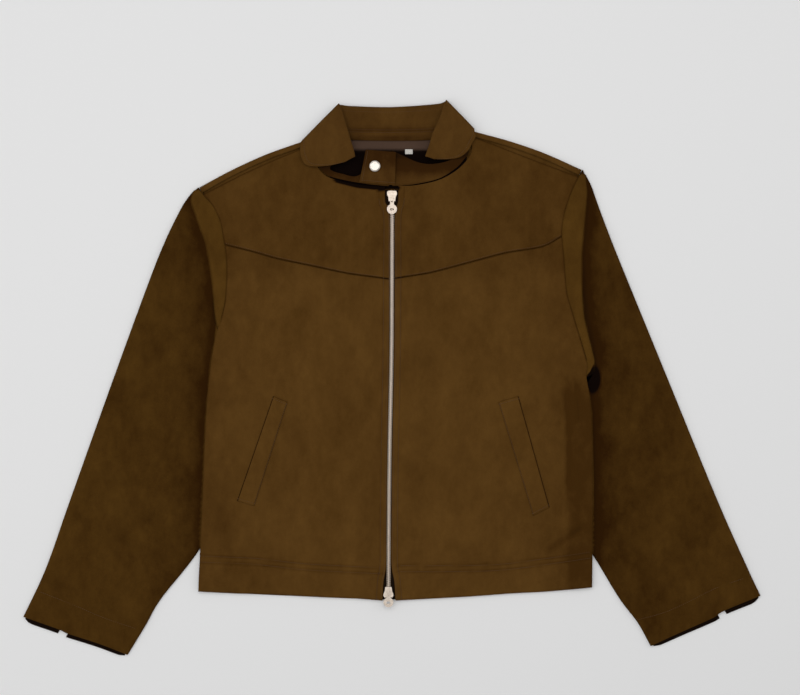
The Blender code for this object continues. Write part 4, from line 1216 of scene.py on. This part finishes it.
def welt(side):
    inner_top, outer_top, outer_end, inner_end = [Vector(p) for p in WELT[side]]
    width, height = WELT_SIZE

    def place(u, v):
        x, y = on_quad((inner_top, outer_top, inner_end, outer_end), u, v)
        rim = min(u * width, (1 - u) * width, v * height, (1 - v) * height)
        top = welt_top(x, y) - turned(rim, 1.0, 1.6)
        top -= pressed(min(u * width, v * height, (1 - v) * height) - 2.6)
        return x, y, top

    def tone(x, y):
        # Painted shadow in the pocket mouth and painted shade along the welt's other rims.
        mouth = line_shade(distance_to_line(x, y, WELT[side][1:3]), MOUTH_SHADE)
        rim = line_shade(distance_to_line(x, y, (WELT[side][3], *WELT[side][:2])), WELT_RIM_SHADE)
        return front_tone(x, y) - mouth - rim

    item = cloth_wall(f"welt_{side}_suede", graded(width, 1.6, (0.5, 1.2), (0.5, 1.0, 1.6)),
                      graded(height, 2.6, (0.5, 1.2), (0.5, 1.2)), place, WELT_WALL, tone=tone)
    finish_piece(item, f"welt_{side}", "suede", BODY_SUEDE,
                 flat=(0.026, 0.168), held="laid", rests_on=[f"front_{side}_suede"], area=0.0038)


for side in SIDES:
    welt(side)

# ---------------------------------------------------------------- zip
# Two-way metal zip: woven tapes sewn under the facings, interlocked teeth clamped to their edges,
# and a slider at each end with a small ring pull.
ZIP_LINE = ((0.4, 268), (-0.1, 130), (-0.6, 40), (-3.3, -102), (-4.5, -215), (-4.8, -316))
TEETH_FROM, TEETH_TO = 259.5, -302.5
TEETH_Z = 4.8
TAPE_TOP = 4.5
TAPE_WALL = 0.9
TAPE_START, TAPE_LENGTH = 268, 581
TAPE_REACH = (3.3, 17.0)          # a tape's edges, measured from the zip's line
TOOTH = {"Pitch": 1.25 * MM, "Tooth width": 4.0 * MM, "Tooth length": 1.05 * MM,
         "Tooth height": 2.3 * MM, "Side shift": 0.95 * MM}
zip_x = smooth_line(ZIP_LINE)


def zip_center(y):
    return zip_x((ZIP_LINE[0][1] - y) / (ZIP_LINE[0][1] - ZIP_LINE[-1][1])).x


DULL_METAL = (0.5, 0.47, 0.43)    # a handled patch's share of the bare metal's colour


def metal_material(name, colour, roughness, wear):
    """Worn pale metal: fine brushing, with duller patches where it has been handled."""
    material, tree, shader = new_material(name)
    shader.inputs["Metallic"].default_value = 1.0
    coords = add_node(tree, "ShaderNodeTexCoord")
    patches = noise_texture(tree, coords.outputs["Object"], Scale=350.0, Detail=4.0, Roughness=0.7)
    rough = add_node(tree, "ShaderNodeMapRange")
    tree.links.new(patches, rough.inputs["Value"])
    rough.inputs["To Min"].default_value = roughness
    rough.inputs["To Max"].default_value = roughness + wear
    tree.links.new(rough.outputs["Result"], shader.inputs["Roughness"])
    dull = [part * share for part, share in zip(colour, DULL_METAL)]
    tree.links.new(mix_colours(tree, patches, (*colour, 1), (*dull, 1)), shader.inputs["Base Color"])
    return material


ZIP_METAL = metal_material("zip_metal", (0.86, 0.75, 0.65), 0.30, 0.22)


def line_tree(name, sizes, made):
    """A node tree that starts with even points along its lines, and its input, output and points."""
    tree = bpy.data.node_groups.new(name, "GeometryNodeTree")
    tree.interface.new_socket("Line", in_out="INPUT", socket_type="NodeSocketGeometry")
    for label in ("Pitch", *sizes):
        tree.interface.new_socket(label, in_out="INPUT", socket_type="NodeSocketFloat")
    tree.interface.new_socket("Material", in_out="INPUT", socket_type="NodeSocketMaterial")
    tree.interface.new_socket(made, in_out="OUTPUT", socket_type="NodeSocketGeometry")
    given = add_node(tree, "NodeGroupInput")
    out = add_node(tree, "NodeGroupOutput")
    curve = add_node(tree, "GeometryNodeMeshToCurve")
    tree.links.new(given.outputs["Line"], curve.inputs["Mesh"])
    evened = add_node(tree, "GeometryNodeResampleCurve", mode="LENGTH")
    tree.links.new(curve.outputs[0], evened.inputs["Curve"])
    tree.links.new(given.outputs["Pitch"], evened.inputs["Length"])
    return tree, given, out, evened.outputs[0]


def size_vector(tree, given, labels):
    size = add_node(tree, "ShaderNodeCombineXYZ")
    for label, socket in zip(labels, size.inputs):
        tree.links.new(given.outputs[label], socket)
    return size.outputs[0]


def finish_tree(tree, placed, given, out):
    """Makes the placed pieces real and gives them their material."""
    real = add_node(tree, "GeometryNodeRealizeInstances")
    tree.links.new(placed.outputs[0], real.inputs[0])
    coated = add_node(tree, "GeometryNodeSetMaterial")
    tree.links.new(real.outputs[0], coated.inputs["Geometry"])
    tree.links.new(given.outputs["Material"], coated.inputs["Material"])
    tree.links.new(coated.outputs[0], out.inputs[0])
    return tree


def teeth_tree():
    """Teeth along a line: one block on each side by turns, its head past the middle."""
    sizes = ("Tooth width", "Tooth length", "Tooth height")
    tree, given, out, points = line_tree("zip_teeth", (*sizes, "Side shift"), "Teeth")
    link = tree.links.new
    tooth = add_node(tree, "GeometryNodeMeshCube")
    link(size_vector(tree, given, sizes), tooth.inputs["Size"])
    index = add_node(tree, "GeometryNodeInputIndex")
    odd = add_node(tree, "ShaderNodeMath", operation="MODULO")
    link(index.outputs[0], odd.inputs[0])
    odd.inputs[1].default_value = 2.0
    shift = add_node(tree, "ShaderNodeMath", operation="MULTIPLY")
    link(multiply_add(tree, odd.outputs[0], 2.0, -1.0), shift.inputs[0])
    link(given.outputs["Side shift"], shift.inputs[1])
    offset = add_node(tree, "ShaderNodeCombineXYZ")
    link(shift.outputs[0], offset.inputs[0])
    moved = add_node(tree, "GeometryNodeSetPosition")
    link(points, moved.inputs["Geometry"])
    link(offset.outputs[0], moved.inputs["Offset"])
    placed = add_node(tree, "GeometryNodeInstanceOnPoints")
    link(moved.outputs[0], placed.inputs["Points"])
    link(tooth.outputs["Mesh"], placed.inputs["Instance"])
    return finish_tree(tree, placed, given, out)


def line_mesh(name, lines):
    """Edges along one or more lines of points in mm."""
    work = bmesh.new()
    for line in lines:
        verts = [work.verts.new(Vector(p) * MM) for p in line]
        for a, b in zip(verts, verts[1:]):
            work.edges.new((a, b))
    mesh = bpy.data.meshes.new(name)
    work.to_mesh(mesh)
    work.free()
    return mesh


def run_tree(name, lines, tree, settings):
    """Runs a node tree along the lines and keeps its result as a plain mesh."""
    guide = add_item(f"{name}_guide", line_mesh(f"{name}_guide", lines))
    modifier = guide.modifiers.new("run", "NODES")
    modifier.node_group = tree
    for socket in tree.interface.items_tree:
        if socket.in_out == "INPUT" and socket.name in settings:
            modifier[socket.identifier] = settings[socket.name]
    mesh = bpy.data.meshes.new_from_object(guide.evaluated_get(bpy.context.evaluated_depsgraph_get()))
    mesh.name = name
    bpy.data.objects.remove(guide, do_unlink=True)
    return add_item(name, mesh)


def zip_teeth():
    steps = 60
    line = [(zip_center(y), y, TEETH_Z)
            for y in [TEETH_FROM + (TEETH_TO - TEETH_FROM) * k / steps for k in range(steps + 1)]]
    item = run_tree("zip_teeth", [line], teeth_tree(), {**TOOTH, "Material": ZIP_METAL})
    soften = item.modifiers.new("worn_edges", "BEVEL")
    soften.width = 0.22 * MM
    soften.segments = 1
    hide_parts("zip_chain")
    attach(item, "jacket")


def zip_tape(side, x_low, x_high):
    def place(u, v):
        y = TAPE_START - TAPE_LENGTH * v
        x = zip_center(y) + x_low + (x_high - x_low) * u
        return x, y, TAPE_TOP - 0.15 * math.cos(6.28 * u)

    item = cloth_wall(f"zip_tape_{side}_cloth", graded(14, 1.4), graded(TAPE_LENGTH, 6), place, TAPE_WALL,
                      tone=lambda x, y: -0.05)
    finish_piece(item, f"zip_tape_{side}", "tape", TAPE_CLOTH,
                 flat=(0.0145, 0.582), held="stretched", rests_on=[f"front_{side}_suede"])


TAPE_CLOTH = woven_material("tape_weave", (0.030, 0.015, 0.008), (0.008, 0.004, 0.002), 700.0, 0.85)
zip_teeth()
zip_tape("left", -TAPE_REACH[1], -TAPE_REACH[0])
zip_tape("right", *TAPE_REACH)
for node in ("slider_top", "slider_bottom", "pull_top", "pull_bottom"):
    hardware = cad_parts[node]
    hardware.data.materials.clear()
    hardware.data.materials.append(ZIP_METAL)

# ---------------------------------------------------------------- snap
# Domed cap of a press snap, closed through the end of the throat tab.
SNAP_METAL = metal_material("snap_metal", (0.92, 0.87, 0.80), 0.24, 0.15)
snap_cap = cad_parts["snap"]
snap_cap.data.materials.clear()
snap_cap.data.materials.append(SNAP_METAL)

# ---------------------------------------------------------------- stitching
# Brown thread along the facings, yokes, hem, cuffs, welts and collar: short raised stitches
# in a pressed row, the same thread and stitch length everywhere.
STITCH_PITCH = 3.1
STITCH_LENGTH = 2.5
THREAD = 0.55
STITCH_SINK = 0.25        # how far a stitch's middle lies below the suede round its row
DOUBLED_SINK = 0.2        # the same on doubled suede
THREAD_COLOURS = ((0.060, 0.026, 0.007, 1), (0.120, 0.054, 0.015, 1))
YOKE_ROW = 2.2
WELT_ROW = 3.4
TAB_ROW = 0.07            # share of the tab's width and height


def thread_material():
    material, tree, shader = new_material("sewing_thread")
    coords = add_node(tree, "ShaderNodeTexCoord")
    shade = noise_texture(tree, coords.outputs["Object"], Scale=300.0, Detail=2.0)
    tree.links.new(mix_colours(tree, shade, *THREAD_COLOURS), shader.inputs["Base Color"])
    shader.inputs["Roughness"].default_value = 0.6
    return material


def stitch_tree():
    """Stitches along lines: a small rounded thread at each pitch, turned along the line."""
    tree, given, out, points = line_tree("stitch_run", ("Stitch length", "Thread thickness"), "Stitches")
    link = tree.links.new
    bead = add_node(tree, "GeometryNodeMeshUVSphere", Segments=6, Rings=4)
    bead.inputs["Radius"].default_value = 0.5
    shaped = add_node(tree, "GeometryNodeTransform")
    link(bead.outputs["Mesh"], shaped.inputs["Geometry"])
    sizes = ("Stitch length", "Thread thickness", "Thread thickness")
    link(size_vector(tree, given, sizes), shaped.inputs["Scale"])
    along = add_node(tree, "GeometryNodeInputTangent")
    turn = add_node(tree, "FunctionNodeAlignRotationToVector", axis="X")
    link(along.outputs[0], turn.inputs["Vector"])
    placed = add_node(tree, "GeometryNodeInstanceOnPoints")
    link(points, placed.inputs["Points"])
    link(shaped.outputs[0], placed.inputs["Instance"])
    link(turn.outputs[0], placed.inputs["Rotation"])
    return finish_tree(tree, placed, given, out)


STITCHES = stitch_tree()
SEWING_THREAD = thread_material()


def sew(name, lines):
    item = run_tree(name, lines, STITCHES,
                    {"Pitch": STITCH_PITCH * MM, "Stitch length": STITCH_LENGTH * MM,
                     "Thread thickness": THREAD * MM, "Material": SEWING_THREAD})
    for face in item.data.polygons:
        face.use_smooth = True
    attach(item, "jacket")


def follow(line, count, height, sideways=0.0, start=0.0, end=1.0):
    """Points along a plan line moved sideways, laid on the surface that `height` gives."""
    points = []
    for k in range(count + 1):
        spot = beside(line, start + (end - start) * k / count, sideways)
        points.append((spot.x, spot.y, height(spot.x, spot.y)))
    return points


def on_front(x, y):
    return front_top(x, y) - STITCH_SINK


def on_sleeve(x, y):
    return sleeve_top(x, y) - STITCH_SINK


def on_welt(x, y):
    return welt_top(x, y) - DOUBLED_SINK


facing_lines, yoke_lines, hem_lines, cuff_lines, welt_lines = [], [], [], [], []
for side, outwards in (("left", -1), ("right", 1)):
    zip_edge = smooth_line(FRONT_EDGE[side])
    for row in FACING_ROWS:
        facing_lines.append(follow(zip_edge, 90, on_front, -outwards * row, 0.03, 0.995))
    yoke_lines.append(follow(smooth_line(YOKE_SEAM[side]), 60, on_front, YOKE_ROW * outwards, 0.01, 0.93))
    for below in (0.0, HEM_STITCH_GAP):
        hem_lines.append(follow(smooth_line(HEM_STITCH[side]), 60, on_front, below, 0.02, 0.98))
    cuff_lines.append(follow(smooth_line(CUFF_STITCH[side]), 40, on_sleeve, 0.0, 0.02, 0.98))
    corners = [Vector(p) for p in WELT[side]]
    center = sum(corners, Vector((0, 0))) / 4
    inner_top, outer_top, outer_end, inner_end = [p + (center - p).normalized() * WELT_ROW for p in corners]
    for ends in ((inner_top, outer_top), (inner_top, inner_end), (inner_end, outer_end)):
        welt_lines.append(follow(smooth_line(ends), 30, on_welt))

tab_spots = [[(TAB_ROW, TAB_ROW + 0.86 * k / 20) for k in range(21)],
             [(TAB_ROW + 0.9 * k / 20, TAB_ROW) for k in range(21)]]
collar_lines = [[on_tab(u, v) - Vector((0, 0, DOUBLED_SINK)) for u, v in spots] for spots in tab_spots]
stand_at = between_edges(STAND)
for share in (0.85, 0.32, 0.245):
    line = [stand_at(9.4 + 3.2 * k / 60, share) for k in range(61)]
    collar_lines.append([(p.x, p.y, p.z + WALL - DOUBLED_SINK) for p in line])
for side in SIDES:
    fall_at = between_edges(FALL[side])
    line = [fall_at(0.3 + 6.4 * k / 60, 0.91) for k in range(61)]
    collar_lines.append([(p.x, p.y, p.z + 0.15) for p in line])

sew("facing_stitches", facing_lines)
sew("yoke_stitches", yoke_lines)
sew("hem_stitches", hem_lines)
sew("cuff_stitches", cuff_lines)
sew("welt_stitches", welt_lines)
sew("collar_stitches", collar_lines)

# ---------------------------------------------------------------- studio
# Pale floor, one broad soft light above, weaker fills from two sides, and a camera straight above.
FLOOR_SIZE = 4.0
FLOOR_Z = -0.0004
FLOOR_GREY = (0.88, 0.88, 0.88)
AIR_LIGHT = 0.385
# Name, place, size and power of each lamp
LAMPS = (("softbox", (-0.35, 0.6, 2.55), 2.9, 34.0),
         ("fill_left", (-2.4, -0.4, 1.5), 1.6, 8.6),
         ("fill_right", (2.2, 0.8, 1.6), 1.6, 8.6))
CAMERA_PLACE = (0.0114, 0.0440, 2.682)
CAMERA_LENS = 85.0

floor_work = bmesh.new()
bmesh.ops.create_grid(floor_work, x_segments=1, y_segments=1, size=FLOOR_SIZE)
floor_mesh = bpy.data.meshes.new("studio_floor")
floor_work.to_mesh(floor_mesh)
floor_work.free()
floor = add_item("studio_floor", floor_mesh)
floor.location = (0, 0, FLOOR_Z)
floor_paint, _, floor_shader = new_material("floor_paint")
floor_shader.inputs["Base Color"].default_value = (*FLOOR_GREY, 1)
floor_shader.inputs["Roughness"].default_value = 1.0
floor_shader.inputs["Specular IOR Level"].default_value = 0.0
floor_mesh.materials.append(floor_paint)

for name, place, size, power in LAMPS:
    lamp = bpy.data.lights.new(name, "AREA")
    lamp.energy = power
    lamp.size = size
    lamp_stand = add_item(name, lamp)
    lamp_stand.location = place
    lamp_stand.rotation_euler = (-Vector(place)).to_track_quat("-Z", "Y").to_euler()

world = bpy.data.worlds.new("studio_air")
world.use_nodes = True
world.node_tree.nodes["Background"].inputs["Color"].default_value = (1.0, 1.0, 1.0, 1)
world.node_tree.nodes["Background"].inputs["Strength"].default_value = AIR_LIGHT
bpy.context.scene.world = world
bpy.context.scene.view_settings.view_transform = "Standard"

camera_data = bpy.data.cameras.new("camera")
camera_data.lens = CAMERA_LENS
camera_data.sensor_width = 36.0
camera = add_item("camera", camera_data)
camera.location = CAMERA_PLACE
bpy.context.scene.camera = camera
